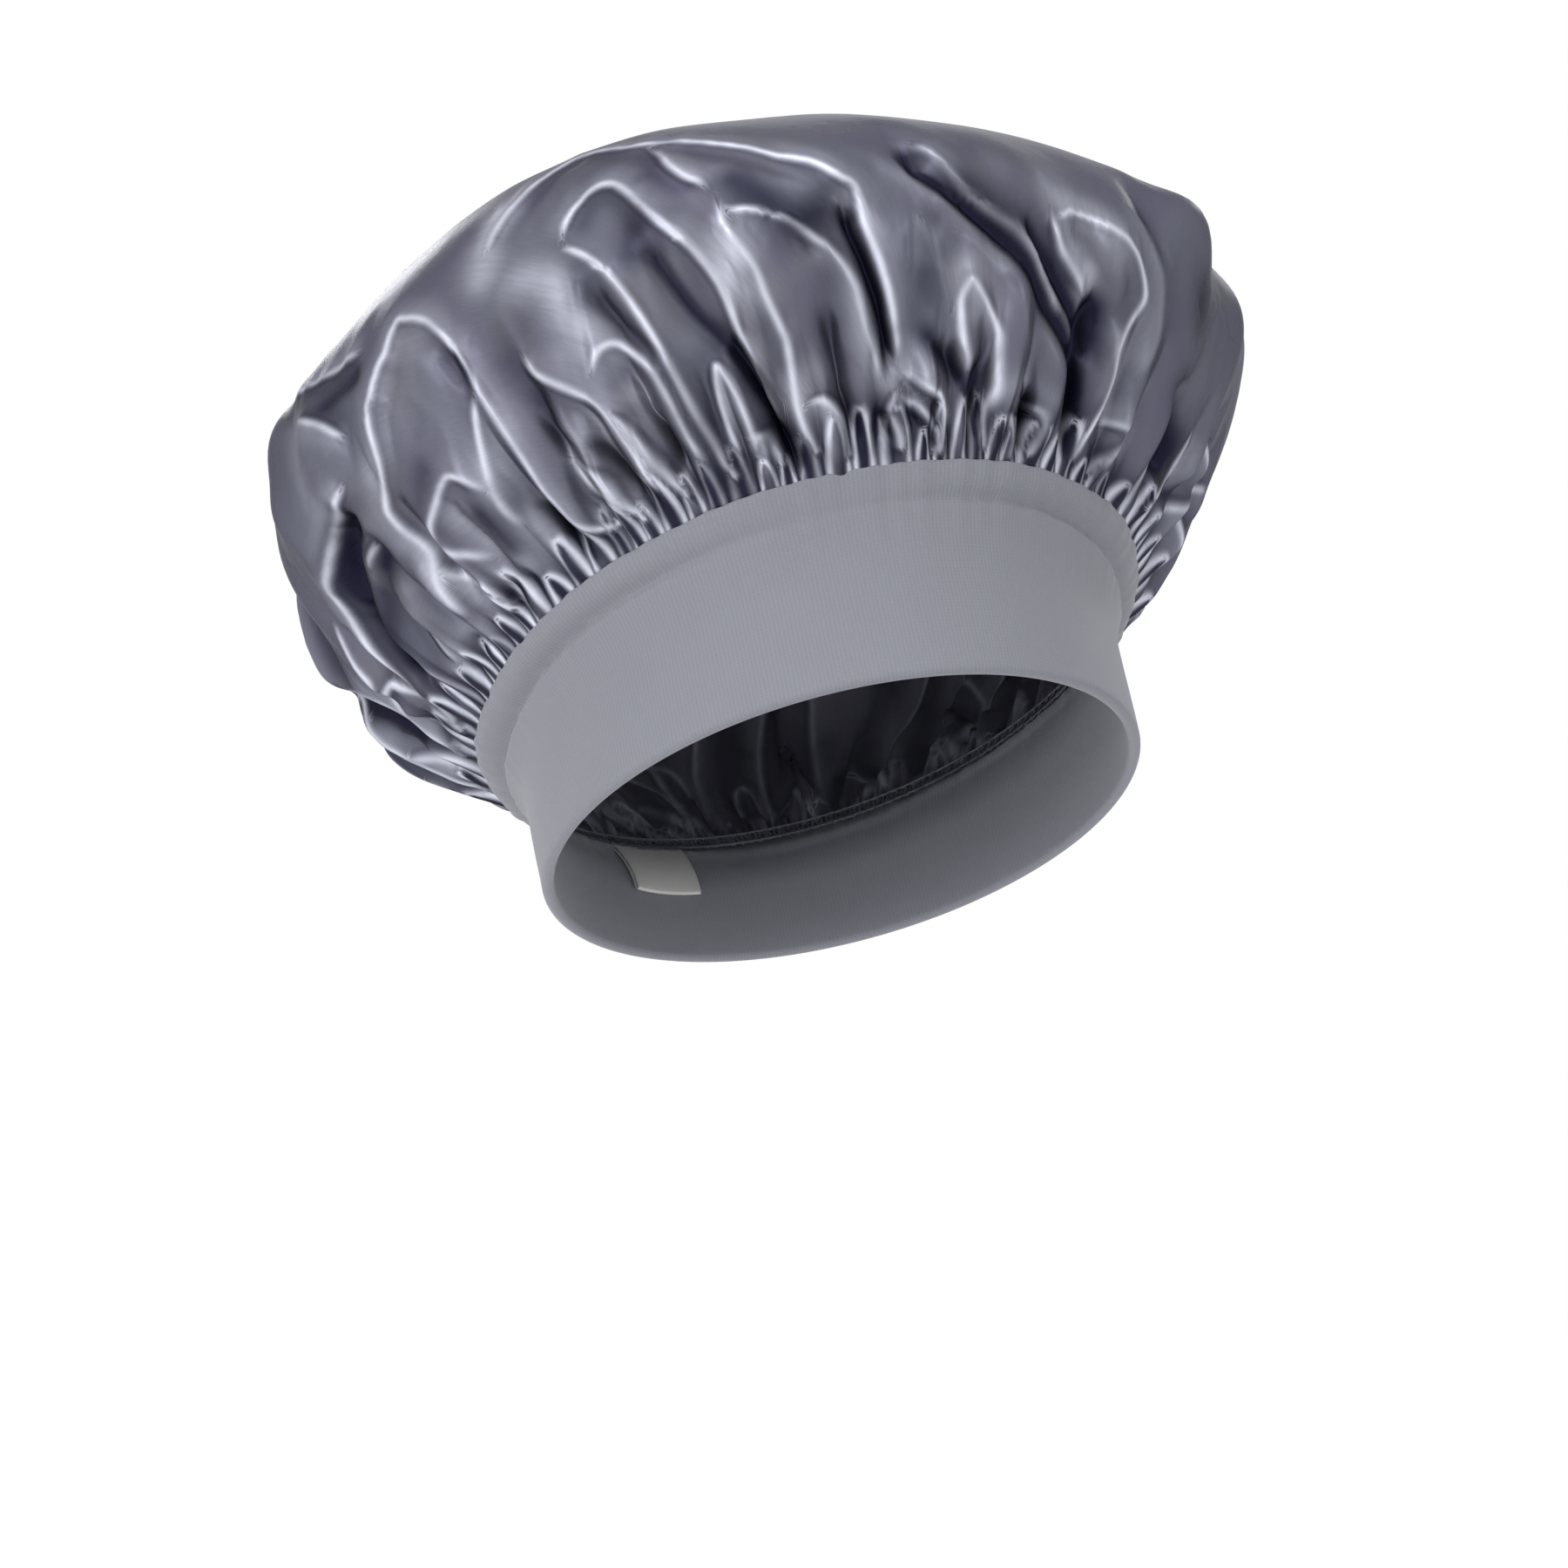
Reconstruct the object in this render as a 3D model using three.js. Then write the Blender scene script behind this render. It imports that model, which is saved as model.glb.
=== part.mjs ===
// Hair bonnet in its worn shape: a round satin crown, gathered with its satin lining into a wide
// knit band that holds a flat elastic. Lengths are in millimetres and angles in degrees.
// The origin is the middle of the head opening, in the plane of the band's lower edge. +Z is up on
// an upright head, the brow is towards -Y, and +X is the wearer's left.
import * as THREE from "three";

// Head opening, measured inside the band at its lower edge.
const openingHalfWidth = 82;
const openingHalfLength = 94;
const wornTilt = 24; // brow up and nape down

// Clearance between layers that touch on the real object.
const layerGap = 0.3;

// Knit band: one strip folded at its lower edge, so two plies with a pocket between them.
const bandFrontHeight = 62;
const bandBackHeight = 45;
const bandFlare = 12; // how far the top edge stands out past the lower edge
const flareStartShare = 0.5;
const knitThickness = 0.8;
const foldRadius = 1.2; // outside of the fold at the lower edge

// Flat elastic in the pocket, closed into a ring by a zigzag of thread across its butted ends.
const elasticWidth = 20;
const elasticThickness = 1.0;
const zigzagWidth = 7;
const zigzagPitch = 5;
const zigzagThread = 0.3;
const zigzagStroke = 1.1; // a stroke's width, measured across the join

// Seam up the centre back of the band.
const backSeamWidth = 1.4;
const backSeamThickness = 0.5;
const backSeamMargin = 1.5;

// Crown: its widest oval, its top and the way it rises from the seam. These are its puffs' outer sides.
const crownHalfWidth = 149;
const crownHalfLength = 152;
const crownWidestHeight = 125;
const crownFrontLift = 7; // the widest line is this much higher over the brow than at the middle
const crownTopHeight = 205;
const crownSetBack = 1;
const crownRiseAngle = 50;
const crownUnderReach = 34; // how far it runs on in that direction
const crownUnderDrop = 20; // how far below its widest line it already stands upright
const crownWidestShare = 0.34; // of the way from the seam to the top
const crownShoulderShare = 0.36;
const crownCapShare = 0.55;
const satinThickness = 0.6;

// Main folds of the crown. Each is a valley that starts at an angle from the brow, drifts round as it
// climbs, and fades towards the seam and towards the top. Angles are in degrees.
const foldDepth = 15;
const foldBankShare = 0.22; // how deep the satin still is a quarter of the way to the next valley
const foldFullShare = 0.2;
const foldDriftEndShare = 0.45;
const foldEndShare = 0.8;
const folds = [
  { angle: 17, drift: -23, depthShare: 1 },
  { angle: 42, drift: -14, depthShare: 0.75 },
  { angle: 62, drift: -8, depthShare: 0.8 },
  { angle: 84, drift: 0, depthShare: 0.55 },
  { angle: 107, drift: -4, depthShare: 0.9 },
  { angle: 128, drift: 0, depthShare: 0.6 },
  { angle: 148, drift: 3, depthShare: 0.85 },
  { angle: 168, drift: 3, depthShare: 0.7 },
  { angle: 188, drift: 3, depthShare: 0.95 },
  { angle: 207, drift: 5, depthShare: 0.6 },
  { angle: 226, drift: 8, depthShare: 0.7 },
  { angle: 245, drift: 17, depthShare: 1 },
  { angle: 269, drift: 8, depthShare: 0.5 },
  { angle: 290, drift: 1, depthShare: 0.75 },
  { angle: 304, drift: 0, depthShare: 0.55 },
  { angle: 318, drift: -3, depthShare: 0.7 },
  { angle: 332, drift: -4, depthShare: 0.55 },
  { angle: 352, drift: -11, depthShare: 0.6 },
];

// Places where the crown swells out of its oval, or sinks into it.
const swellHeight = 5;
const swells = [
  { angle: 302, atShare: 0.61, spread: 24, spreadShare: 0.13, heightShare: 0.9 },
  { angle: 352, atShare: 0.6, spread: 22, spreadShare: 0.12, heightShare: -0.45 },
  { angle: 27, atShare: 0.43, spread: 11, spreadShare: 0.09, heightShare: 1.9 },
  { angle: 66, atShare: 0.22, spread: 20, spreadShare: 0.1, heightShare: -0.45 },
  { angle: 218, atShare: 0.24, spread: 10, spreadShare: 0.1, heightShare: 1.4 },
  { angle: 248, atShare: 0.4, spread: 11, spreadShare: 0.1, heightShare: 1.5 },
  { angle: 273, atShare: 0.5, spread: 9, spreadShare: 0.1, heightShare: -0.4 },
];

// Gathering thread round the crown's edge.
const gatherThreadRadius = 0.3;
const gatherThreadRise = 0.6;
const gatherThreadInset = 1.9;

// Overlock thread over the raw edges, inside.
const overlockThickness = 1.2;
const overlockBelow = 4.5;
const overlockLap = 1.4; // how far it laps over the band's top edge

// Blank folded label inside the centre back.
const labelWidth = 26;
const labelLength = 19;
const labelTape = 0.35;
const labelGape = 0.5; // gap between its two leaves

// Steps.
const stepsPerFold = 4;
const stepsRound = stepsPerFold * folds.length;
const bandLevelShares = [0, 0.5, 0.68, 0.85, 1];
const crownUnderSteps = 4;
const crownOverSteps = 4;
const foldArcSteps = 3;
const stripSteps = 6;
const threadSides = 6;

const satinColour = 0x6f717e;
const liningColour = 0x7b7d8a;
const knitColour = 0x8f9098;
const elasticColour = 0xd9d9d6;
const threadColour = 0x83848f;
const labelColour = 0xeceae6;

const back = Math.PI;
const fullTurn = 2 * Math.PI;

// Layers through the band, counted outwards from the head.
const pocketInner = knitThickness;
const elasticInner = pocketInner + layerGap;
const elasticOuter = elasticInner + elasticThickness;
const zigzagInner = elasticOuter + layerGap;
const pocketOuter = zigzagInner + zigzagThread + layerGap;
const bandThickness = pocketOuter + knitThickness;

const bandMiddleHeight = (bandFrontHeight + bandBackHeight) / 2;
const bandHeightSwing = (bandFrontHeight - bandBackHeight) / 2;

/** Height of the band's top edge above its lower edge, at an angle counted from the brow. */
function bandHeightAt(theta) {
  return bandMiddleHeight + bandHeightSwing * Math.cos(theta);
}

/** How far the band leans outwards at a height, compared with its lower edge. */
function bandLean(theta, height) {
  const rise = (height / bandHeightAt(theta) - flareStartShare) / (1 - flareStartShare);
  return bandFlare * Math.max(0, rise) ** 2;
}

/** A point at an angle round the head, a distance out from the opening's oval and a height. */
function around(theta, out, height) {
  const x = (openingHalfWidth + out) * Math.sin(theta);
  const y = -(openingHalfLength + out) * Math.cos(theta);
  return new THREE.Vector3(x, y, height);
}

/** A point of the band, a distance out from its inner face. */
function onBand(theta, out, height) {
  return around(theta, bandLean(theta, height) + out, height);
}

function smooth(share) {
  const s = Math.min(1, Math.max(0, share));
  return s * s * (3 - 2 * s);
}

function cubic(a, b, c, d, t) {
  const u = 1 - t;
  return u * u * u * a + 3 * u * u * t * b + 3 * u * t * t * c + t * t * t * d;
}

/**
 * The crown's half-axis and height at a share of the way from the seam to the top, for the half-axis
 * of the seam and of the widest line.
 */
function meridian(theta, share, seamHalf, widestHalf) {
  const rise = THREE.MathUtils.degToRad(crownRiseAngle);
  const seamHeight = bandHeightAt(theta) + layerGap;
  const widestHeight = crownWidestHeight + crownFrontLift * Math.cos(theta);
  if (share < crownWidestShare) {
    const t = share / crownWidestShare;
    const turnHalf = seamHalf + crownUnderReach * Math.cos(rise);
    const turnHeight = seamHeight + crownUnderReach * Math.sin(rise);
    const uprightHeight = widestHeight - crownUnderDrop;
    return [
      cubic(seamHalf, turnHalf, widestHalf, widestHalf, t),
      cubic(seamHeight, turnHeight, uprightHeight, widestHeight, t),
    ];
  }
  const t = (share - crownWidestShare) / (1 - crownWidestShare);
  const domeHeight = crownTopHeight - widestHeight;
  return [
    cubic(widestHalf, widestHalf, crownCapShare * widestHalf, 0, t),
    cubic(widestHeight, widestHeight + crownShoulderShare * domeHeight, crownTopHeight, crownTopHeight, t),
  ];
}

/** A point of the crown's outer face without its folds. */
function crownBase(theta, share) {
  const edge = bandFlare + bandThickness;
  const [halfWidth, height] = meridian(theta, share, openingHalfWidth + edge, crownHalfWidth);
  const [halfLength] = meridian(theta, share, openingHalfLength + edge, crownHalfLength);
  const setBack = crownSetBack * smooth(share / crownWidestShare);
  return new THREE.Vector3(halfWidth * Math.sin(theta), setBack - halfLength * Math.cos(theta), height);
}

/** The outward direction of the crown's outer face without its folds. */
function crownNormal(theta, share) {
  const nudge = 1e-3;
  if (share > 1 - nudge) return new THREE.Vector3(0, 0, 1);
  const along = crownBase(theta + nudge, share).sub(crownBase(theta - nudge, share));
  const low = Math.max(0, share - nudge);
  const up = crownBase(theta, share + nudge).sub(crownBase(theta, low));
  return along.cross(up).normalize();
}

/** A bell curve of 1 at the middle. */
function bell(distance) {
  return Math.exp(-distance * distance);
}

/** How far the swells stand out at a point of the crown. */
function swellAt(theta, share) {
  const room = Math.min(1, (1 - share) / (1 - crownWidestShare)); // the swells close up at the top
  let sum = 0;
  for (const { angle, atShare, spread, spreadShare, heightShare } of swells) {
    const away = THREE.MathUtils.euclideanModulo(THREE.MathUtils.radToDeg(theta) - angle + 180, 360) - 180;
    sum += heightShare * bell((away * room) / spread) * bell((share - atShare) / spreadShare);
  }
  return swellHeight * sum;
}

/** How deep a spoke lies in the folds. Every stepsPerFold-th spoke runs along the bottom of a valley. */
function foldAt(spoke, share) {
  const step = spoke % stepsPerFold;
  const fold = Math.floor(spoke / stepsPerFold);
  const next = (fold + 1) % folds.length;
  const banks = [folds[fold].depthShare, folds[next].depthShare];
  const lies = [banks[0], foldBankShare * banks[0], 0, foldBankShare * banks[1]][step];
  const full = smooth(share / foldFullShare);
  const fade = 1 - smooth((share - foldFullShare) / (foldEndShare - foldFullShare));
  return foldDepth * lies * full * fade;
}

/** The angle of a spoke, which drifts with the valleys on either side of it. */
function spokeAngle(spoke, share) {
  const fold = Math.floor(spoke / stepsPerFold);
  const drifted = Math.min(share, foldDriftEndShare) / foldDriftEndShare;
  const valley = folds[fold].angle + folds[fold].drift * drifted;
  const following = folds[(fold + 1) % folds.length];
  const lap = fold + 1 === folds.length ? 360 : 0;
  const nextValley = following.angle + lap + following.drift * drifted;
  const between = (spoke % stepsPerFold) / stepsPerFold;
  return THREE.MathUtils.degToRad(THREE.MathUtils.lerp(valley, nextValley, between));
}

/** A point of the crown, a depth in from its outer face. */
function onCrown(spoke, share, depth) {
  const theta = spokeAngle(spoke, share);
  const out = swellAt(theta, share) - foldAt(spoke, share) - depth;
  return crownBase(theta, share).addScaledVector(crownNormal(theta, share), out);
}

/** The two triangles of a quad whose corners run counter-clockwise, seen from outside. */
function quad(a, b, c, d) {
  return [a, b, c, a, c, d];
}

/** A closed surface from its points and its triangles' corners. */
function surfaceOf(points, corners) {
  const geometry = new THREE.BufferGeometry().setFromPoints(points);
  geometry.setIndex(corners);
  geometry.computeVertexNormals();
  return geometry;
}

/** A closed ring round the head: sectionAt(theta) lists the points of its section, outer face upwards. */
function ringOf(sectionAt) {
  const angles = Array.from({ length: stepsRound }, (_, step) => (fullTurn * step) / stepsRound);
  const sections = angles.map(sectionAt);
  const size = sections[0].length;
  const faces = [];
  for (let step = 0; step < stepsRound; step++) {
    const here = step * size;
    const next = ((step + 1) % stepsRound) * size;
    for (let i = 0; i < size; i++) {
      const above = (i + 1) % size;
      faces.push(...quad(here + i, next + i, next + above, here + above));
    }
  }
  return surfaceOf(sections.flat(), faces);
}

/** A satin layer of the crown: its outer face lies a depth below the crown's outer face. */
function crownLayer(depth) {
  const under = Array.from({ length: crownUnderSteps }, (_, i) => (crownWidestShare * i) / crownUnderSteps);
  const over = Array.from(
    { length: crownOverSteps },
    (_, i) => crownWidestShare + ((1 - crownWidestShare) * i) / crownOverSteps,
  );
  const shares = [...under, ...over];
  const faceSize = stepsRound * shares.length + 1;
  const faces = [depth, depth + satinThickness].map((level) => {
    const rings = shares.map((share) =>
      Array.from({ length: stepsRound }, (_, spoke) => onCrown(spoke, share, level)),
    );
    return [...rings.flat(), onCrown(0, 1, level)];
  });
  const outer = [];
  const rim = [];
  for (let spoke = 0; spoke < stepsRound; spoke++) {
    const next = (spoke + 1) % stepsRound;
    for (let ring = 0; ring + 1 < shares.length; ring++) {
      const low = ring * stepsRound;
      const high = low + stepsRound;
      outer.push(...quad(low + spoke, low + next, high + next, high + spoke));
    }
    const last = (shares.length - 1) * stepsRound;
    outer.push(last + spoke, last + next, faceSize - 1);
    rim.push(...quad(next, spoke, faceSize + spoke, faceSize + next));
  }
  const inner = outer.map((vertex) => vertex + faceSize).reverse();
  return surfaceOf(faces.flat(), [...outer, ...inner, ...rim]);
}

/** Bends a flat geometry onto the band: x runs along it from an angle, y outwards and z up. */
function bendOntoBand(geometry, theta0) {
  const position = geometry.getAttribute("position");
  for (let i = 0; i < position.count; i++) {
    const theta = theta0 - position.getX(i) / openingHalfWidth;
    const p = onBand(theta, position.getY(i), position.getZ(i));
    position.setXYZ(i, p.x, p.y, p.z);
  }
  geometry.computeVertexNormals();
  return geometry;
}

function bandCasing() {
  return ringOf((theta) => {
    const top = bandHeightAt(theta);
    const middle = bandThickness / 2;
    const levels = bandLevelShares.map((share) => foldRadius + share * (top - foldRadius));
    const floor = foldRadius + knitThickness;
    const pocketLevels = bandLevelShares.map((share) => floor + share * (top - floor));
    const turn = Array.from({ length: foldArcSteps - 1 }, (_, i) => (Math.PI * (i + 1)) / foldArcSteps);
    const outerFace = levels.map((height) => onBand(theta, bandThickness, height));
    const outerPocket = pocketLevels.map((height) => onBand(theta, pocketOuter, height)).reverse();
    const innerPocket = pocketLevels.map((height) => onBand(theta, pocketInner, height));
    const innerFace = levels.map((height) => onBand(theta, 0, height)).reverse();
    const fold = turn.map((angle) =>
      onBand(theta, middle - middle * Math.cos(angle), foldRadius - foldRadius * Math.sin(angle)),
    );
    return [...outerFace, ...outerPocket, ...innerPocket, ...innerFace, ...fold];
  });
}

function bandElastic() {
  const bottom = foldRadius + knitThickness + layerGap;
  return ringOf((theta) => {
    const levels = Array.from({ length: 4 }, (_, i) => bottom + (elasticWidth * i) / 3);
    const outer = levels.map((height) => onBand(theta, elasticOuter, height));
    const inner = levels.map((height) => onBand(theta, elasticInner, height)).reverse();
    return [...outer, ...inner];
  });
}

function elasticJoinStitch() {
  const bottom = foldRadius + knitThickness + layerGap + zigzagPitch;
  const strokes = Math.floor((elasticWidth - 2 * zigzagPitch) / (zigzagPitch / 2));
  const line = Array.from({ length: strokes + 1 }, (_, i) => [
    (i % 2 ? 0.5 : -0.5) * zigzagWidth,
    (i * zigzagPitch) / 2,
  ]);
  const half = zigzagStroke / 2;
  const shape = new THREE.Shape([
    ...line.map(([x, z]) => new THREE.Vector2(x + half, z)),
    ...line.map(([x, z]) => new THREE.Vector2(x - half, z)).reverse(),
  ]);
  const geometry = new THREE.ExtrudeGeometry(shape, { depth: zigzagThread, bevelEnabled: false });
  geometry.rotateX(Math.PI / 2); // the outline's y now runs up and the thread's thickness along -Y
  geometry.translate(0, zigzagInner + zigzagThread, bottom);
  return bendOntoBand(geometry, back);
}

function bandBackSeam() {
  const length = bandBackHeight - foldRadius - 2 * backSeamMargin;
  const geometry = new THREE.BoxGeometry(backSeamWidth, backSeamThickness, length, 1, 1, stripSteps);
  const out = bandThickness + layerGap + backSeamThickness / 2;
  geometry.translate(0, out, foldRadius + backSeamMargin + length / 2);
  return bendOntoBand(geometry, back);
}

function gatheringThread() {
  return ringOf((theta) => {
    const out = bandThickness - gatherThreadInset;
    const height = bandHeightAt(theta) + gatherThreadRise;
    return Array.from({ length: threadSides }, (_, i) => {
      const angle = (fullTurn * i) / threadSides;
      const section = gatherThreadRadius * Math.cos(angle);
      return around(theta, bandFlare + out + section, height + gatherThreadRadius * Math.sin(angle));
    });
  });
}

function overlockThread() {
  return ringOf((theta) => {
    const top = bandHeightAt(theta);
    const low = top - overlockBelow;
    const ledge = top + layerGap;
    const lowOut = bandLean(theta, low) - layerGap;
    const midOut = bandFlare - layerGap;
    return [
      around(theta, lowOut, low),
      around(theta, midOut, top),
      around(theta, midOut, ledge),
      around(theta, midOut + overlockLap, ledge),
      around(theta, midOut + overlockLap, ledge + overlockThickness),
      around(theta, midOut - overlockThickness, ledge + overlockThickness),
      around(theta, midOut - overlockThickness, top),
      around(theta, lowOut - overlockThickness, low),
    ];
  });
}

function careLabel() {
  const bendRadius = labelTape + labelGape / 2;
  const arc = new THREE.EllipseCurve(0, bendRadius, bendRadius, bendRadius, Math.PI, fullTurn);
  const gape = labelGape / 2;
  const inside = new THREE.EllipseCurve(0, bendRadius, gape, gape, fullTurn, Math.PI, true);
  const heights = Array.from(
    { length: stripSteps },
    (_, i) => bendRadius + ((labelLength - bendRadius) * (i + 1)) / stripSteps,
  );
  const side = (out) => heights.map((height) => new THREE.Vector2(out, height));
  const shape = new THREE.Shape([
    ...side(-bendRadius).reverse(),
    ...arc.getPoints(stripSteps),
    ...side(bendRadius),
    ...side(gape).reverse(),
    ...inside.getPoints(stripSteps),
    ...side(-gape),
  ]);
  const along = { depth: labelWidth, steps: stripSteps, bevelEnabled: false };
  const geometry = new THREE.ExtrudeGeometry(shape, along);
  geometry.rotateX(Math.PI / 2);
  geometry.rotateZ(Math.PI / 2); // the section's x now runs outwards and its y up
  geometry.translate(-labelWidth / 2, -layerGap - bendRadius, 0);
  geometry.translate(0, 0, bandBackHeight - overlockBelow - layerGap - labelLength);
  return bendOntoBand(geometry, back);
}

function piece(name, geometry, color, roughness) {
  const mesh = new THREE.Mesh(geometry, new THREE.MeshStandardMaterial({ color, roughness, metalness: 0 }));
  mesh.name = name;
  return mesh;
}

const bonnet = new THREE.Group();
bonnet.rotation.x = -THREE.MathUtils.degToRad(wornTilt);
bonnet.add(
  piece("crown_shell", crownLayer(0), satinColour, 0.35),
  piece("crown_lining", crownLayer(satinThickness + layerGap), liningColour, 0.45),
  piece("band_casing", bandCasing(), knitColour, 0.9),
  piece("band_elastic", bandElastic(), elasticColour, 0.85),
  piece("elastic_join_stitch", elasticJoinStitch(), threadColour, 0.8),
  piece("band_back_seam", bandBackSeam(), threadColour, 0.8),
  piece("gathering_thread", gatheringThread(), threadColour, 0.8),
  piece("overlock_thread", overlockThread(), threadColour, 0.8),
  piece("care_label", careLabel(), labelColour, 0.6),
);

const model = new THREE.Group();
model.add(bonnet);
export default model;
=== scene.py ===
"""Looks of the hair bonnet: a satin crown, simulated from its flat round cut and gathered into a knit band.

Lengths are in millimetres on an upright head, with the origin in the middle of the head opening, the brow
towards -Y and +Z up. Worn.place() tips each finished mesh as the bonnet is worn, and turns it into metres.
"""

import logging  # noqa: E402
import math  # noqa: E402
from dataclasses import dataclass, replace  # noqa: E402
from enum import Enum  # noqa: E402
from typing import ClassVar, Iterable, Sequence  # noqa: E402

import bmesh  # noqa: E402
import bpy  # noqa: E402
import numpy as np  # noqa: E402
from mathutils import Matrix, Vector  # noqa: E402


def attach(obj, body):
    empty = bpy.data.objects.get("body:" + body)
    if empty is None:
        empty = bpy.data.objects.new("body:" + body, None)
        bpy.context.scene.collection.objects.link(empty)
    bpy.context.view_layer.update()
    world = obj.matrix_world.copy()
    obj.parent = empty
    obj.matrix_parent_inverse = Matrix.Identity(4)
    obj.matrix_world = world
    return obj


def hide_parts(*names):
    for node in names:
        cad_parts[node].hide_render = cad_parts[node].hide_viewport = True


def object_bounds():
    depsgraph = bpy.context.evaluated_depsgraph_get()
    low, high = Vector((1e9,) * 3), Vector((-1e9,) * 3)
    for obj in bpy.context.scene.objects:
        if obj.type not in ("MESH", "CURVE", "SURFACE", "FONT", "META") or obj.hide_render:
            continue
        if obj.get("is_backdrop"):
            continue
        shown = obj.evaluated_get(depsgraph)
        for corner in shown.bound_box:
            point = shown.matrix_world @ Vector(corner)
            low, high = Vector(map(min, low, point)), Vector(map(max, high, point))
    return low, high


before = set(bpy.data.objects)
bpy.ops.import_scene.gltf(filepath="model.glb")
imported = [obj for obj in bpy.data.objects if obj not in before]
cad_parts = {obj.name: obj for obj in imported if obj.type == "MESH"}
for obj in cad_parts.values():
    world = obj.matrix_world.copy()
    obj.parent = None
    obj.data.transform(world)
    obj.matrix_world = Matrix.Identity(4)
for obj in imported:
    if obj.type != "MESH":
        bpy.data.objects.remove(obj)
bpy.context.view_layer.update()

logging.basicConfig(level=logging.INFO, format="%(name)s: %(message)s")
log = logging.getLogger("bonnet")

MM = 0.001
MM_PER_METRE = 1000.0
FULL_TURN = 2 * math.pi
BACK = math.pi
Colour = tuple[float, float, float]
Span = tuple[float, float]
Points = np.ndarray


class Slot(Enum):
    """The record's material slots."""

    CROWN = "crown_satin"
    LINING = "lining_satin"
    KNIT = "band_knit"
    ELASTIC = "woven_elastic"
    THREAD = "sewing_thread"
    TAPE = "label_tape"


class Hold(Enum):
    """How a sheet of cloth is held."""

    GATHERED = "gathered"
    STRETCHED = "stretched"
    FOLDED = "folded"


# Shaders


class Value:
    """A shader socket that Python's own arithmetic adds Math nodes to."""

    def __init__(self, shader: "Shader", socket: bpy.types.NodeSocket) -> None:
        """Wraps a socket of a shader's node."""
        self.shader = shader
        self.socket = socket

    def math(self, operation: str, *others: "Value | float") -> "Value":
        """Adds a Math node.

        Args:
            operation: The Math node's operation.
            others: Its other operands, as sockets or numbers.

        Returns:
            The node's result.
        """
        sockets = dict(enumerate((self, *others)))
        return self.shader.node("ShaderNodeMath", {"operation": operation}, sockets)

    def __add__(self, other: "Value | float") -> "Value":
        """self + other."""
        return self.math("ADD", other)

    __radd__ = __add__

    def __mul__(self, other: "Value | float") -> "Value":
        """self * other."""
        return self.math("MULTIPLY", other)

    __rmul__ = __mul__

    def __sub__(self, other: "Value | float") -> "Value":
        """self - other."""
        return self.math("SUBTRACT", other)

    def __rsub__(self, other: float) -> "Value":
        """other - self."""
        return (self * -1.0) + other

    def __truediv__(self, other: "Value | float") -> "Value":
        """self / other."""
        return self.math("DIVIDE", other)

    def __pow__(self, other: "Value | float") -> "Value":
        """self ** other."""
        return self.math("POWER", other)

    def size(self) -> "Value":
        """self without its sign."""
        return self.math("ABSOLUTE")

    def fraction(self) -> "Value":
        """The part of self past its whole number."""
        return self.math("FRACT")

    def wave(self) -> "Value":
        """A sine wave from -1 to 1 that comes round once for each whole number."""
        return (self * FULL_TURN).math("SINE")

    def step(self, low: float, high: float) -> "Value":
        """0 below low, 1 above high, and smooth between them."""
        settings = {"interpolation_type": "SMOOTHSTEP"}
        return self.shader.node("ShaderNodeMapRange", settings, {0: self, 1: low, 2: high, 3: 0.0, 4: 1.0})


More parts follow.
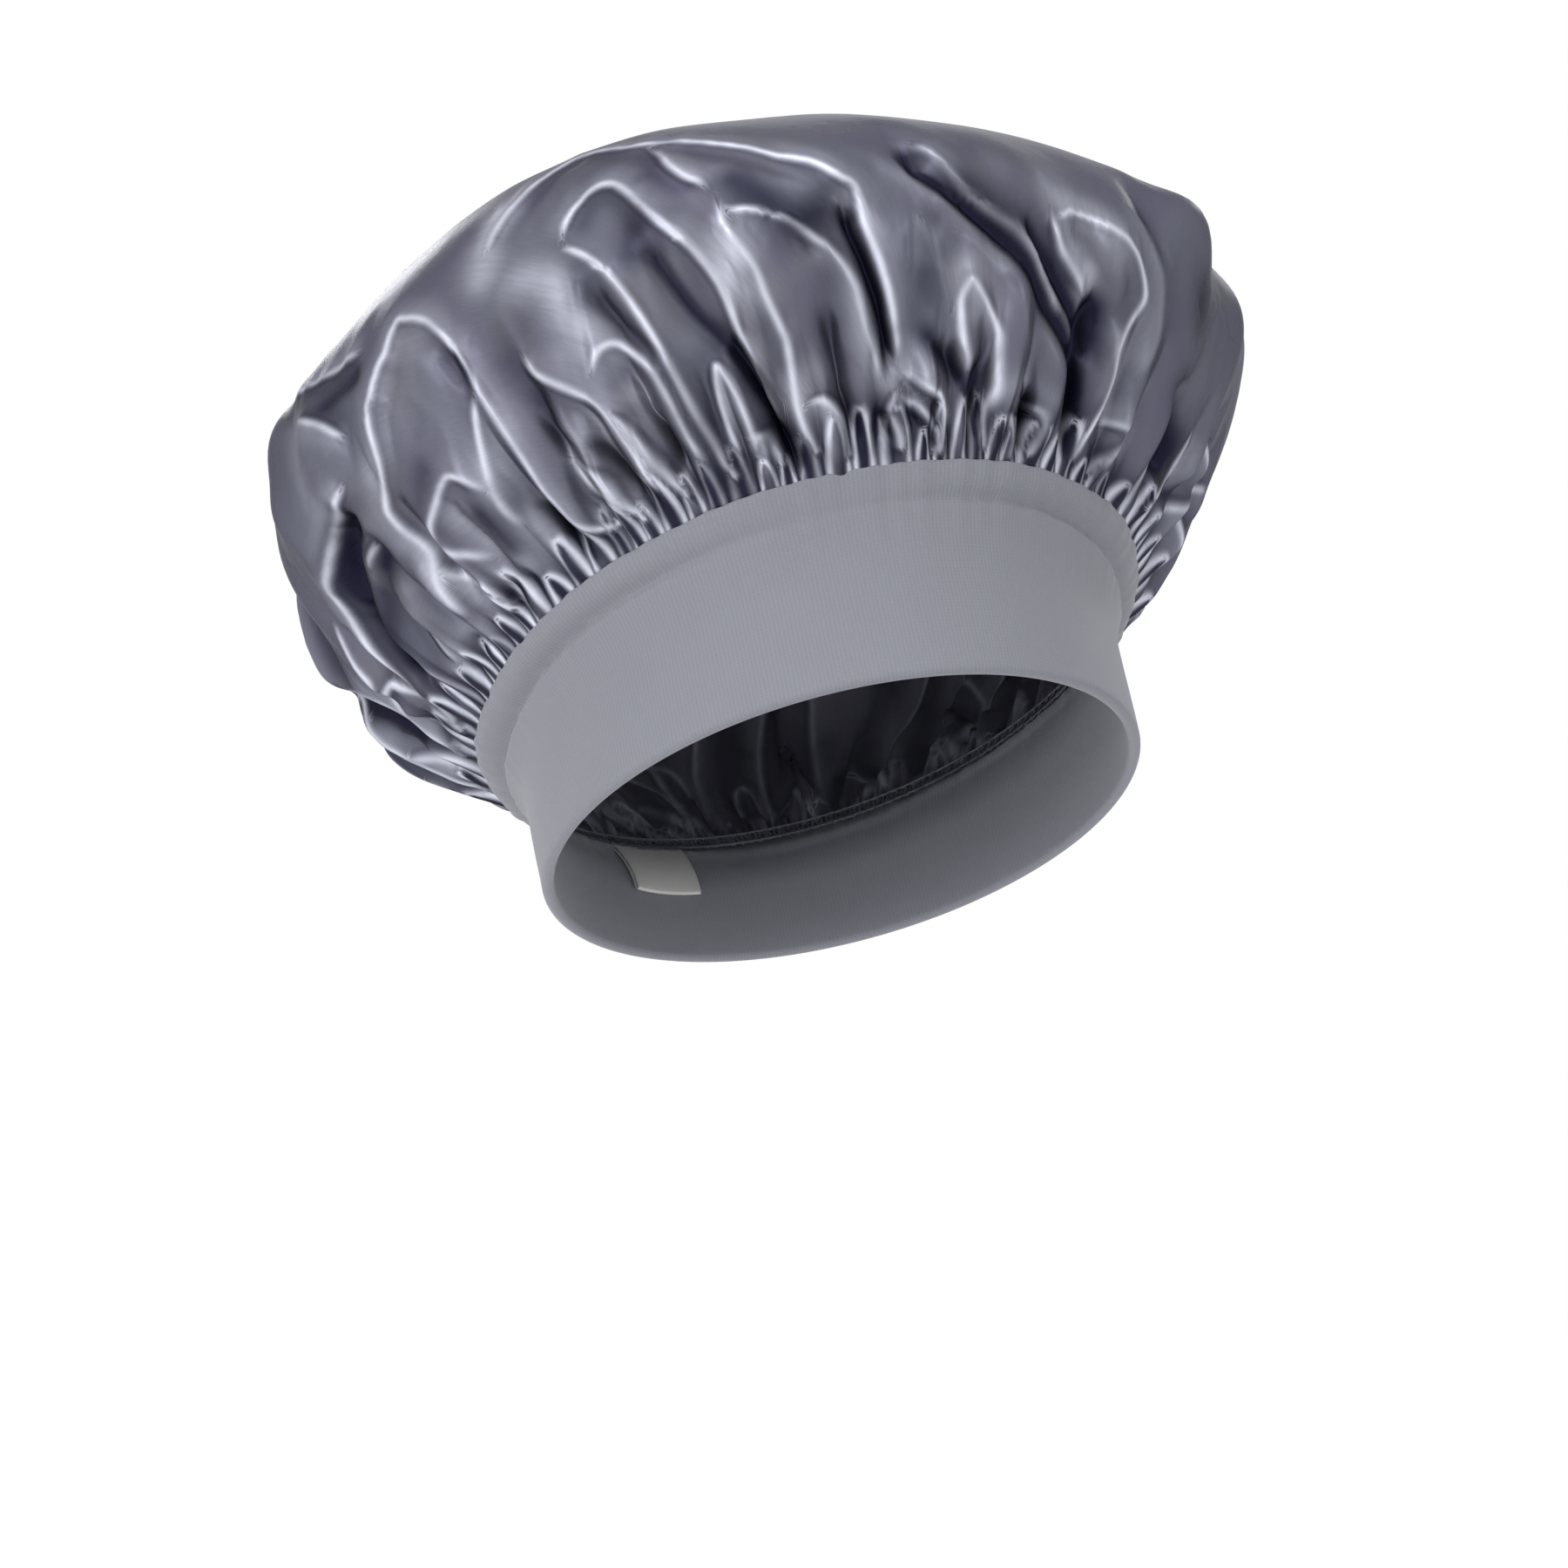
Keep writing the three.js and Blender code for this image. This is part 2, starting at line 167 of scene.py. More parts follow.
class Shader:
    """The nodes of a material, or of the world."""

    def __init__(self, owner: bpy.types.ID) -> None:
        """Empties the nodes.

        Args:
            owner: A new material or world.
        """
        self.owner = owner
        owner.use_nodes = True
        self.tree = owner.node_tree
        self.tree.nodes.clear()

    @classmethod
    def material(cls, name: str) -> "Shader":
        """Starts an empty material of that name."""
        return cls(bpy.data.materials.new(name))

    def node(self, kind: str, settings: dict, sockets: dict, output: int | str = 0) -> Value:
        """Adds a node.

        Args:
            kind: The node's type.
            settings: Its own settings, which are set first.
            sockets: Values or links for its input sockets, by name or number.
            output: The output socket that is wanted.

        Returns:
            That output, or an empty value for a node without outputs.
        """
        made = self.tree.nodes.new(kind)
        for name, setting in settings.items():
            setattr(made, name, setting)
        for key, value in sockets.items():
            if isinstance(value, Value):
                self.tree.links.new(value.socket, made.inputs[key])
            else:
                made.inputs[key].default_value = value
        return Value(self, made.outputs[output] if made.outputs else None)

    def parts(self, vector: Value) -> tuple[Value, ...]:
        """A vector's three parts."""
        split = self.node("ShaderNodeSeparateXYZ", {}, {0: vector}).socket.node
        return tuple(Value(self, output) for output in split.outputs)

    def uv(self, layer: str) -> tuple[Value, ...]:
        """The two coordinates of a UV map."""
        return self.parts(self.node("ShaderNodeUVMap", {"uv_map": layer}, {}))[:2]

    def place(self) -> Value:
        """The place on the object."""
        return self.node("ShaderNodeTexCoord", {}, {}, "Object")

    def vector(self, x: Value | float, y: Value | float, z: Value | float = 0.0) -> Value:
        """A vector from its parts."""
        return self.node("ShaderNodeCombineXYZ", {}, {0: x, 1: y, 2: z})

    def noise(self, where: Value, scale: float = 1.0, detail: float = 2.0, roughness: float = 0.5) -> Value:
        """Noise between 0 and 1."""
        sockets = {"Vector": where, "Scale": scale, "Detail": detail, "Roughness": roughness}
        return self.node("ShaderNodeTexNoise", {}, sockets)

    def attribute(self, name: str) -> Value:
        """A number kept on the piece's points."""
        return self.node("ShaderNodeAttribute", {"attribute_name": name}, {}, "Fac")

    def mix(self, share: Value, low: Value | Colour, high: Value | Colour) -> Value:
        """A colour between two."""
        ends = [c if isinstance(c, Value) else (*c, 1.0) for c in (low, high)]
        return self.node("ShaderNodeMix", {"data_type": "RGBA"}, {0: share, 6: ends[0], 7: ends[1]}, 2)

    def tint(self, colour: Value, by: Value) -> Value:
        """A colour multiplied by another."""
        settings = {"data_type": "RGBA", "blend_type": "MULTIPLY"}
        return self.node("ShaderNodeMix", settings, {0: 1.0, 6: colour, 7: by}, 2)

    def bump(self, height: Value, distance: float, strength: float, under: Value | None = None) -> Value:
        """Adds a Bump node.

        Args:
            height: The height, from 0 to 1.
            distance: What a height of 1 stands for, in millimetres.
            strength: How strong the bumps are.
            under: The normal of coarser bumps below, if any.

        Returns:
            The normal.
        """
        sockets = {"Height": height, "Distance": distance * MM, "Strength": strength}
        if under is not None:
            sockets["Normal"] = under
        return self.node("ShaderNodeBump", {}, sockets)

    def seen(self) -> Value:
        """Tells what is looked at from what is only lit.

        Returns:
            1 where the camera sees a thing straight, in metal or through glass, and 0 for all other light.
        """
        path = self.node("ShaderNodeLightPath", {}, {}).socket.node
        kinds = ("Is Camera Ray", "Is Glossy Ray", "Is Transmission Ray")
        straight, mirrored, through = (Value(self, path.outputs[kind]) for kind in kinds)
        return straight.math("MAXIMUM", mirrored).math("MAXIMUM", through)

    def close(self, colour: Value, roughness: Value, normal: Value, others: dict) -> bpy.types.Material:
        """Adds the Principled shader and the output.

        Args:
            colour: Its base colour.
            roughness: Its roughness.
            normal: Its bumps.
            others: Values for other sockets, by name.

        Returns:
            The finished material.
        """
        sockets = {"Base Color": colour, "Roughness": roughness, "Normal": normal}
        surface = self.node("ShaderNodeBsdfPrincipled", {}, sockets | others)
        self.node("ShaderNodeOutputMaterial", {}, {"Surface": surface})
        return self.owner


@dataclass(frozen=True)
class Satin:
    """Polyester satin: slate with a violet cast and smooth floats, with painted shade, painted sheen and thin
    painted highlight lines along its crests.

    Its patterns' sizes and its bumps' depths are in millimetres of the flat cut.
    """

    slot: Slot
    plain: Colour = (0.130, 0.134, 0.171)
    violet: Colour = (0.116, 0.113, 0.156)
    warm: Colour = (0.129, 0.128, 0.157)
    # Painted shade: the colour that creases, the gaps between gathers and the steep sides of crests are
    # darkened towards.
    painted_shade: Colour = (0.013, 0.013, 0.028)
    # The crest colour is a painted highlight: thin light lines drawn along the crests and the gathers' loops.
    crest: Colour = (0.66, 0.68, 0.78)
    # The sheen colour is painted sheen, laid where the satin would shine between its folds.
    sheen: Colour = (0.40, 0.41, 0.48)
    streak_dark: Colour = (0.93, 0.93, 0.93)
    streak_light: Colour = (1.06, 1.06, 1.06)
    specular_tint: Colour = (0.12, 0.12, 0.14)
    specular: float = 0.2
    roughness: float = 0.42
    metallic: float = 0.6
    flat_width: float = 544.0
    cloud: float = 46.0
    drift: float = 38.0
    drift_layer: float = 40.0
    glint: float = 17.0
    ripple: float = 9.0
    float_size: Span = (0.32, 7.0)
    slub_size: Span = (1.6, 22.0)
    # Width and strength of the painted highlight lines.
    highlight_width: float = 1.1
    highlight_strength: float = 0.9
    crest_reach: Span = (2.0, 3.4)
    crest_blur: Span = (0.9, 1.6)
    contact_reach: Span = (0.3, 1.2)
    contact_shade: float = 0.4
    tent_round: float = 0.25
    tent_slope: float = 0.75
    tent_height: float = 0.5
    ripple_height: float = 0.4
    weave_height: float = 0.1

    def build(self) -> bpy.types.Material:
        """Builds the satin's material, whose weave follows the flat cut.

        Returns:
            The material.
        """
        s = Shader.material(self.slot.value)
        u, v = s.uv("cloth")
        across, along = u * self.flat_width, v * self.flat_width
        cloth = s.vector(across, along)
        clouds = s.noise(cloth, 1 / self.cloud, 3.0)
        drift = s.noise(s.vector(across, along, self.drift_layer), 1 / self.drift)
        floats = s.noise(s.vector(across / self.float_size[0], along / self.float_size[1]), 1.0, 2.0, 0.6)
        slubs = s.noise(s.vector(across / self.slub_size[0], along / self.slub_size[1]), 1.0, 3.0, 0.6)
        ripple = s.noise(cloth, 1 / self.ripple)
        glint = s.noise(cloth, 1 / self.glint).step(0.25, 0.7) * 0.5 + 0.5

        # Painted highlight lines: a thin band of the crest colour on each side of a crest's path.
        side, away = s.attribute("crest_side"), s.attribute("crest_away")
        near = (1.0 - away.step(*self.crest_reach)) * (1.0 - (away - side.size()).step(*self.crest_blur))
        line = (side * side * (-1.0 / self.highlight_width**2)).math("EXPONENT") * near
        # Painted shade right beside each crest, on its steep side.
        contact = (side * s.attribute("crest_lean")).step(*self.contact_reach) * near

        colour = s.mix(clouds.step(0.38, 0.62), self.plain, self.violet)
        colour = s.mix(drift.step(0.5, 0.68), colour, self.warm)
        # Painted sheen: sheen strokes and the gentle, lit sides of crests lighten towards the sheen colour.
        colour = s.mix(s.attribute("fold_sheen") * (slubs.step(0.25, 0.7) * 0.2 + 0.8), colour, self.sheen)
        # Painted shade: valleys, gaps between gathers, shade strokes and the steep sides of crests darken
        # towards the shade colour.
        colour = s.mix(s.attribute("fold_shade"), colour, self.painted_shade)
        colour = s.mix(contact * self.contact_shade, colour, self.painted_shade)
        # Painted highlight: the crest colour drawn along the lines, its strength varied by the glint noise.
        colour = s.mix(line * glint * s.attribute("crest_glow") * self.highlight_strength, colour, self.crest)
        colour = s.tint(colour, s.mix(floats.step(0.2, 0.8), self.streak_dark, self.streak_light))

        tent = ((side * side + self.tent_round) ** 0.5 * -self.tent_slope).math("EXPONENT") * near
        normal = s.bump(tent, self.tent_height, 0.6)
        normal = s.bump(ripple, self.ripple_height, 0.3, normal)
        normal = s.bump(floats * 0.5 + slubs * 0.5, self.weave_height, 0.35, normal)
        others = {
            "Metallic": self.metallic,
            "Specular IOR Level": self.specular,
            "Specular Tint": (*self.specular_tint, 1.0),
        }
        return s.close(colour, floats * 0.06 + slubs * 0.05 + (self.roughness - 0.055), normal, others)


@dataclass(frozen=True)
class Knit:
    """Matte jersey with a fine upright rib."""

    slot: Slot = Slot.KNIT
    plain: Colour = (0.261, 0.267, 0.304)
    # The groove colour is painted shade: the knit darkens where its ribs and courses lie low.
    groove: Colour = (0.240, 0.246, 0.282)
    cloud_dark: Colour = (0.955, 0.955, 0.965)
    cloud_light: Colour = (1.035, 1.035, 1.03)
    around_length: float = 590.0
    rib_pitch: float = 1.25
    course_pitch: float = 0.95
    wander_turns: float = 60.0
    wander_height: float = 14.0
    cloud_turns: float = 24.0
    cloud_height: float = 24.0
    fuzz_scale: float = 2.2
    depth: float = 0.14

    def build(self) -> bpy.types.Material:
        """Builds the jersey's material. Its UV map gives turns round the band and metres up it.

        Returns:
            The material.
        """
        s = Shader.material(self.slot.value)
        u, v = s.uv("knit")
        up = v * MM_PER_METRE
        courses = up / self.course_pitch
        wander = s.noise(s.vector(u * self.wander_turns, up / self.wander_height)) - 0.5
        lean = (courses.fraction() - 0.5).size() * 0.5
        ribs = u * float(round(self.around_length / self.rib_pitch)) + lean + wander * 0.5
        fuzz = s.noise(s.vector(u * self.around_length, up), self.fuzz_scale, 3.0, 0.7)
        height = (ribs.wave() * 0.5 + 0.5) * 0.62 + (courses.wave() * 0.5 + 0.5) * 0.22 + fuzz * 0.3
        cloud = s.noise(s.vector(u * self.cloud_turns, up / self.cloud_height), 1.0, 3.0)
        # Painted shade in the low parts of the rib.
        colour = s.mix(height.step(0.15, 0.85), self.groove, self.plain)
        colour = s.tint(colour, s.mix(cloud, self.cloud_dark, self.cloud_light))
        others = {"Specular IOR Level": 0.25, "Sheen Weight": 0.25, "Sheen Roughness": 0.5}
        return s.close(colour, fuzz * 0.12 + 0.8, s.bump(height, self.depth, 0.8), others)


@dataclass(frozen=True)
class Thread:
    """Spun sewing thread: two plies twisted together."""

    slot: Slot = Slot.THREAD
    plain: Colour = (0.225, 0.23, 0.275)
    # The dark colour is painted shade between the plies.
    dark: Colour = (0.13, 0.133, 0.165)
    twist: float = 0.9
    fibre_scale: float = 2600.0
    depth: float = 0.08

    def build(self) -> bpy.types.Material:
        """Builds the thread's material, on Object coordinates.

        Returns:
            The material.
        """
        s = Shader.material(self.slot.value)
        where = s.place()
        x, y, z = s.parts(where)
        ply = ((x + y + z) * (MM_PER_METRE / self.twist)).wave() * 0.5 + 0.5
        fibre = s.noise(where, self.fibre_scale, 3.0, 0.7)
        height = ply * 0.7 + fibre * 0.3
        # Painted shade where the thread lies low between its plies.
        colour = s.mix(height.step(0.1, 0.9), self.dark, self.plain)
        return s.close(colour, fibre * 0.2 + 0.55, s.bump(height, self.depth, 0.7), {"Sheen Weight": 0.2})


@dataclass(frozen=True)
class Elastic:
    """Woven elastic: off-white, with rubber cords side by side along it."""

    slot: Slot = Slot.ELASTIC
    plain: Colour = (0.72, 0.71, 0.68)
    # The gap colour is painted shade between the cords.
    gap: Colour = (0.45, 0.44, 0.42)
    cord_pitch: float = 1.5
    pick_pitch: float = 0.8
    wool_scale: float = 1800.0
    depth: float = 0.3

    def build(self) -> bpy.types.Material:
        """Builds the elastic's material, on Object coordinates turned to the band's own height.

        Returns:
            The material.
        """
        s = Shader.material(self.slot.value)
        where = s.place()
        turn = (math.radians(Worn.tilt), 0.0, 0.0)
        x, y, z = s.parts(s.node("ShaderNodeMapping", {}, {"Vector": where, "Rotation": turn}))
        cord = (z * (MM_PER_METRE / self.cord_pitch)).wave() * 0.5 + 0.5
        pick = ((x + y) * (MM_PER_METRE / self.pick_pitch)).wave() * 0.5 + 0.5
        wool = s.noise(where, self.wool_scale, 3.0, 0.7)
        height = cord * 0.55 + pick * 0.25 + wool * 0.2
        # Painted shade where the weave lies low between its cords.
        colour = s.mix(height.step(0.15, 0.8), self.gap, self.plain)
        return s.close(colour, wool * 0.15 + 0.72, s.bump(height, self.depth, 0.8), {"Sheen Weight": 0.15})


@dataclass(frozen=True)
class Tape:
    """White woven label tape, left blank."""

    slot: Slot = Slot.TAPE
    plain: Colour = (0.80, 0.79, 0.76)
    shade: Colour = (0.62, 0.61, 0.60)
    pick_pitch: float = 0.45
    lint_scale: float = 0.8
    depth: float = 0.08

    def build(self) -> bpy.types.Material:
        """Builds the tape's material. Its UV map is in metres along and across the tape.

        Returns:
            The material.
        """
        s = Shader.material(self.slot.value)
        u, v = s.uv("tape")
        warp, weft = ((way * (MM_PER_METRE / self.pick_pitch)).wave() for way in (u, v))
        lint = s.noise(s.vector(u * MM_PER_METRE, v * MM_PER_METRE), self.lint_scale, 3.0)
        height = (warp * weft) * 0.35 + lint * 0.3 + 0.35
        colour = s.mix(height.step(0.1, 0.9), self.shade, self.plain)
        return s.close(colour, lint * 0.2 + 0.45, s.bump(height, self.depth, 0.7), {"Sheen Weight": 0.1})


# Shapes in common


class Worn:
    """The way the bonnet sits: brow up and nape down."""

    tilt: ClassVar[float] = 24.0

    @classmethod
    def place(cls, piece: bpy.types.Object) -> None:
        """Tips a mesh from the upright head to the worn place, and turns its millimetres into metres.

        Args:
            piece: The mesh's piece.
        """
        turn = Matrix.Rotation(-math.radians(cls.tilt), 4, "X") @ Matrix.Scale(MM, 4)
        piece.data.transform(turn)
        piece.data.update()


def smooth(share: Points | float) -> Points | float:
    """0 below 0, 1 above 1, and smooth between them."""
    s = np.clip(share, 0.0, 1.0)
    return s * s * (3 - 2 * s)


def cubic(a: Points, b: Points, c: Points, d: Points, t: Points) -> Points:
    """A cubic Bezier curve's point at t."""
    u = 1 - t
    return u**3 * a + 3 * u * u * t * b + 3 * u * t * t * c + t**3 * d


def fall(distance: Points, start: float, run: float) -> Points:
    """1 up to start, 0 from run past it, and smooth between them."""
    return 1 - smooth((distance - start) / run)


def bell(distance: Points) -> Points:
    """A bell curve of 1 at the middle."""
    return np.exp(-(distance**2))


def turned(degrees: Points | float) -> Points | float:
    """An angle's shorter way round, in degrees."""
    return (degrees + 180.0) % 360.0 - 180.0


def lengths_along(line: Points) -> Points:
    """How far along a line each of its points lies."""
    return np.r_[0, np.cumsum(np.linalg.norm(np.diff(line, axis=0), axis=1))]


def read_rows(items: bpy.types.bpy_prop_collection, name: str) -> Points:
    """Reads three numbers of each item.

    Args:
        items: The items, such as a mesh's vertices or its normals.
        name: The property to read.

    Returns:
        The numbers, one row each.
    """
    flat = np.empty(len(items) * 3)
    items.foreach_get(name, flat)
    return flat.reshape(-1, 3)


def write_points(mesh: bpy.types.Mesh, points: Points) -> None:
    """Moves a mesh's vertices."""
    mesh.vertices.foreach_set("co", points.ravel())
    mesh.update()


def keep(mesh: bpy.types.Mesh, name: str, values: Points) -> None:
    """Keeps a number or a vector on each of a mesh's points.

    Args:
        mesh: The mesh.
        name: The attribute's name.
        values: The numbers or vectors.
    """
    kind, field = ("FLOAT", "value") if values.ndim == 1 else ("FLOAT_VECTOR", "vector")
    mesh.attributes.new(name, kind, "POINT").data.foreach_set(field, values.astype(np.float32).ravel())


def lay_uv(mesh: bpy.types.Mesh, layer: str, where: Points, wraps: bool) -> None:
    """Writes a UV map from two numbers a vertex.

    Args:
        mesh: The mesh.
        layer: The map's name.
        where: The two numbers of each vertex.
        wraps: Whether the first number runs round from 1 to 0, where a face must not span the whole map.
    """
    corners = np.empty(len(mesh.loops), dtype=np.int32)
    mesh.loops.foreach_get("vertex_index", corners)
    laid = where[corners].copy()
    if wraps:
        starts, counts = np.empty((2, len(mesh.polygons)), dtype=np.int32)
        mesh.polygons.foreach_get("loop_start", starts)
        mesh.polygons.foreach_get("loop_total", counts)
        face = np.repeat(np.arange(len(starts)), counts)
        high = np.maximum.reduceat(laid[:, 0], starts)
        spans = (high - np.minimum.reduceat(laid[:, 0], starts)) > 0.5
        laid[:, 0] += (spans[face] & (laid[:, 0] < 0.5)).astype(float)
    mesh.uv_layers.new(name=layer).data.foreach_set("uv", laid.astype(np.float32).ravel())


def as_mesh(bm: bmesh.types.BMesh, name: str) -> bpy.types.Mesh:
    """Turns a bmesh into a mesh.

    Args:
        bm: The bmesh, which is freed.
        name: The mesh's name.

    Returns:
        The mesh.
    """
    mesh = bpy.data.meshes.new(name)
    bm.to_mesh(mesh)
    bm.free()
    return mesh


def link(name: str, data: bpy.types.ID) -> bpy.types.Object:
    """Links a new object to the scene.

    Args:
        name: Its name.
        data: Its mesh, curve, camera or light.

    Returns:
        The object.
    """
    made = bpy.data.objects.new(name, data)
    bpy.context.scene.collection.objects.link(made)
    return made


def as_piece(name: str, mesh: bpy.types.Mesh) -> bpy.types.Object:
    """Links a mesh to the scene as a piece of that name, shaded smooth."""
    mesh.polygons.foreach_set("use_smooth", [True] * len(mesh.polygons))
    return link(name, mesh)


def circle(bm: bmesh.types.BMesh, segments: int, radius: float) -> tuple[list, list]:
    """Adds a circle to a bmesh, and returns its vertices and its edges."""
    made = bmesh.ops.create_circle(bm, cap_ends=False, segments=segments, radius=radius)["verts"]
    return made, list({edge for vertex in made for edge in vertex.link_edges})


def skin(rings: Sequence[Points]) -> bpy.types.Mesh:
    """Bridges rings of points into a surface.

    Args:
        rings: Rings of as many points each, from first to last, turning the same way.

    Returns:
        The mesh, whose vertices are in the rings' order.
    """
    bm = bmesh.new()
    loops = []
    for ring in rings:
        made, edges = circle(bm, len(ring), 1.0)
        for vertex, point in zip(made, ring):
            vertex.co = point
        loops.append(edges)
    for low, high in zip(loops, loops[1:]):
        bmesh.ops.bridge_loops(bm, edges=low + high)
    bmesh.ops.recalc_face_normals(bm, faces=bm.faces[:])
    return as_mesh(bm, "skin")


def thread_mesh(paths: Iterable[Points], radius: float, loops: bool) -> bpy.types.Mesh:
    """Lays thread along paths.

    Args:
        paths: The points of each stretch of thread.
        radius: The thread's radius.
        loops: Whether each stretch closes on itself.

    Returns:
        The thread's mesh.
    """
    curve = bpy.data.curves.new("thread", "CURVE")
    curve.dimensions = "3D"
    curve.bevel_depth = radius
    curve.bevel_resolution = 1
    curve.use_fill_caps = not loops
    for path in paths:
        spline = curve.splines.new("POLY")
        spline.points.add(len(path) - 1)
        spline.points.foreach_set("co", np.c_[path, np.ones(len(path))].ravel())
        spline.use_cyclic_u = loops
    holder = link("thread", curve)
    mesh = bpy.data.meshes.new_from_object(holder)
    bpy.data.objects.remove(holder)
    bpy.data.curves.remove(curve)
    return mesh


def dress(piece: bpy.types.Object, finish: bpy.types.Material, nodes: Sequence[str]) -> None:
    """Gives a finished piece its place, material, slot and CAD nodes.

    Args:
        piece: The piece, in millimetres on the upright head.
        finish: Its material.
        nodes: The CAD nodes that it stands for.
    """
    piece.data.materials.clear()
    piece.data.materials.append(finish)
    Worn.place(piece)
    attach(piece, "root")
    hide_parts(*nodes)
    log.info("%s: %d faces", piece.name, len(piece.data.polygons))


# The head opening and the band


@dataclass
class Band:
    """The knit band: one strip folded at its lower edge, with its top lip pushed out by the gathers."""

    half_width: float = 82.0
    half_length: float = 94.0
    front_height: float = 62.0
    back_height: float = 45.0
    flare: float = 12.0
    flare_start: float = 0.5
    thickness: float = 3.8
    ply: float = 0.8
    fold_height: float = 1.9
    lip_turn: float = 1.3
    tucks: tuple[Span, ...] = ((0.9, 0.25), (1.3, 1.6), (1.3, 5.0))
    groove_depth: float = 2.4
    groove_share: float = 0.85
    groove_spread: float = 0.024
    lip_rise: float = 1.3
    lip_share: float = 0.93
    lip_spread: float = 0.05
    overhang: Span = (328.0, 26.0)
    steps_round: int = 368
    strip_around: float = 500.0
    strip_width: float = 130.0

    def height(self, theta: Points | float) -> Points | float:
        """Height of the top edge at an angle counted from the brow."""
        middle, swing = (self.front_height + self.back_height) / 2, (self.front_height - self.back_height) / 2
        return middle + swing * np.cos(theta)

    def lean(self, theta: Points, height: Points) -> Points:
        """How far the band stands out at a height, compared with its lower edge."""
        rise = np.maximum(0.0, (height / self.height(theta) - self.flare_start) / (1 - self.flare_start))
        return self.flare * rise**2

    def around(self, theta: Points, out: Points, height: Points) -> Points:
        """Points at angles round the head, distances out from the opening's oval, and heights."""
        x, y = (self.half_width + out) * np.sin(theta), -(self.half_length + out) * np.cos(theta)
        return np.stack(np.broadcast_arrays(x, y, height), -1).astype(float)

    def on(self, theta: Points, out: Points, height: Points) -> Points:
        """Points of the band, distances out from its inner face."""
        return self.around(theta, self.lean(theta, height) + out, height)

    def section(self) -> list[tuple[float, float, float]]:
        """The band's section, from the inner lip down round the fold and up to the outer lip, which turns in.

        Returns:
            Its points as (distance out, share of the height, height added).
        """
        middle, fold, turn = self.thickness / 2, self.fold_height, self.lip_turn
        edge = self.thickness - turn
        inner_shares = np.linspace(0.985, 0.06, 24)
        outer_shares = np.r_[np.linspace(0.06, 0.76, 20), np.linspace(0.78, 0.955, 14)]
        half, quarter = np.linspace(0, math.pi, 11), np.linspace(0, math.pi / 2, 6)
        return [
            *((0.0, share, 0.0) for share in inner_shares),
            *((middle - middle * math.cos(a), 0.0, fold - fold * math.sin(a)) for a in half),
            *((self.thickness, share, 0.0) for share in outer_shares),
            *((edge + turn * math.cos(a), 1.0, -turn + turn * math.sin(a)) for a in quarter),
            *((edge - inward, 1.0, -down) for inward, down in self.tucks),
        ]

    def pull(self, theta: Points, height: Points) -> Points:
        """How far the gathers and the head inside push the knit out of its smooth oval.

        Args:
            theta: The angles.
            height: The heights at them.

        Returns:
            The distances out.
        """
        share = height / self.height(theta)
        near_top = smooth((share - 0.55) / 0.45)
        tugs = 0.16 * np.cos(92 * theta + 0.6) + 0.18 * np.sin(41 * theta + 1.0) + 0.14 * np.sin(67 * theta)
        waves = 0.55 * np.sin(5 * theta + 0.7) + 0.4 * np.sin(9 * theta + 2.1)
        waves = waves + 0.3 * np.sin(14 * theta + 0.4)
        sag = 0.35 * np.sin(3 * theta + 5 * share) * smooth(share / 0.3)
        middle, spread = self.overhang
        present = 1 - 0.9 * bell(turned(np.degrees(theta) - middle) / spread)
        line = share - self.groove_share - 0.01 * np.sin(4 * theta + 1)
        groove = -self.groove_depth * present * bell(line / self.groove_spread)
        lip = self.lip_rise * present * bell((share - self.lip_share) / self.lip_spread)
        return near_top * (tugs + 0.6 * waves) + sag * 0.5 + groove + lip

    def build(self, finish: bpy.types.Material) -> None:
        """Builds and dresses the band.

        Args:
            finish: The knit's material.
        """
        theta = np.linspace(0, FULL_TURN, self.steps_round + 1)[:-1]
        rings = []
        for out, share, extra in self.section():
            height = self.height(theta) * share + extra
            out = self.lean(theta, height) + out + self.pull(theta, height)
            rings.append(self.around(theta, out, height))
        gaps = [np.linalg.norm(high - low, axis=1).mean() for low, high in zip(rings, rings[1:])]
        up = np.r_[0, np.cumsum(gaps)][:, None] * MM
        mesh = skin(rings)
        lay_uv(mesh, "knit", np.stack(np.broadcast_arrays(theta / FULL_TURN, up), -1).reshape(-1, 2), True)
        band = as_piece("band_knit", mesh)
        wall = band.modifiers.new("ply", "SOLIDIFY")
        wall.thickness = self.ply * MM
        wall.offset = -1.0
        dress(band, finish, ["band_casing"])


# The crown


@dataclass(frozen=True)
class Fold:
    """A ridge or valley of the satin, along a path of (degrees from the brow, share of the way up).

    A ridge's lean is above 0 where it falls steeply to the left of its path, and below 0 where it does to the
    right. Its fade is how far from its ends it starts to sink into the cloth, or 0 where it never does.
    """

    rise: float
    spread: float
    path: tuple[Span, ...]
    lean: float = 0.0
    fade: float = 7.0


def traced(rise: float, spread: float, lean: float, *route: float) -> Fold:
    """A ridge, a valley or a hollow from its route.

    Args:
        rise: How far it stands out, or lies in.
        spread: Half its width, roughly.
        lean: Its lean.
        route: Degrees from the brow and thousandths of the way up, in turn.

    Returns:
        The fold.
    """
    shares = (thousandths / 1000 for thousandths in route[1::2])
    return Fold(rise, spread, tuple(zip(route[::2], shares)), lean)


def tone(strength: float, spread: float, *route: float) -> Fold:
    """A soft stroke of painted shade or painted sheen that keeps its strength to its ends.

    Args:
        strength: How strong it is, from 0 to 1.
        spread: Half its width, roughly.
        route: Degrees from the brow and thousandths of the way up, in turn.

    Returns:
        The stroke.
    """
    return replace(traced(strength, spread, 0, *route), fade=0.0)


# The folds follow lines traced on the photograph and laid on the smooth oval. Each row is how far a fold
# stands out, how wide it is, its lean, and its route: degrees from the brow and thousandths of the way up.

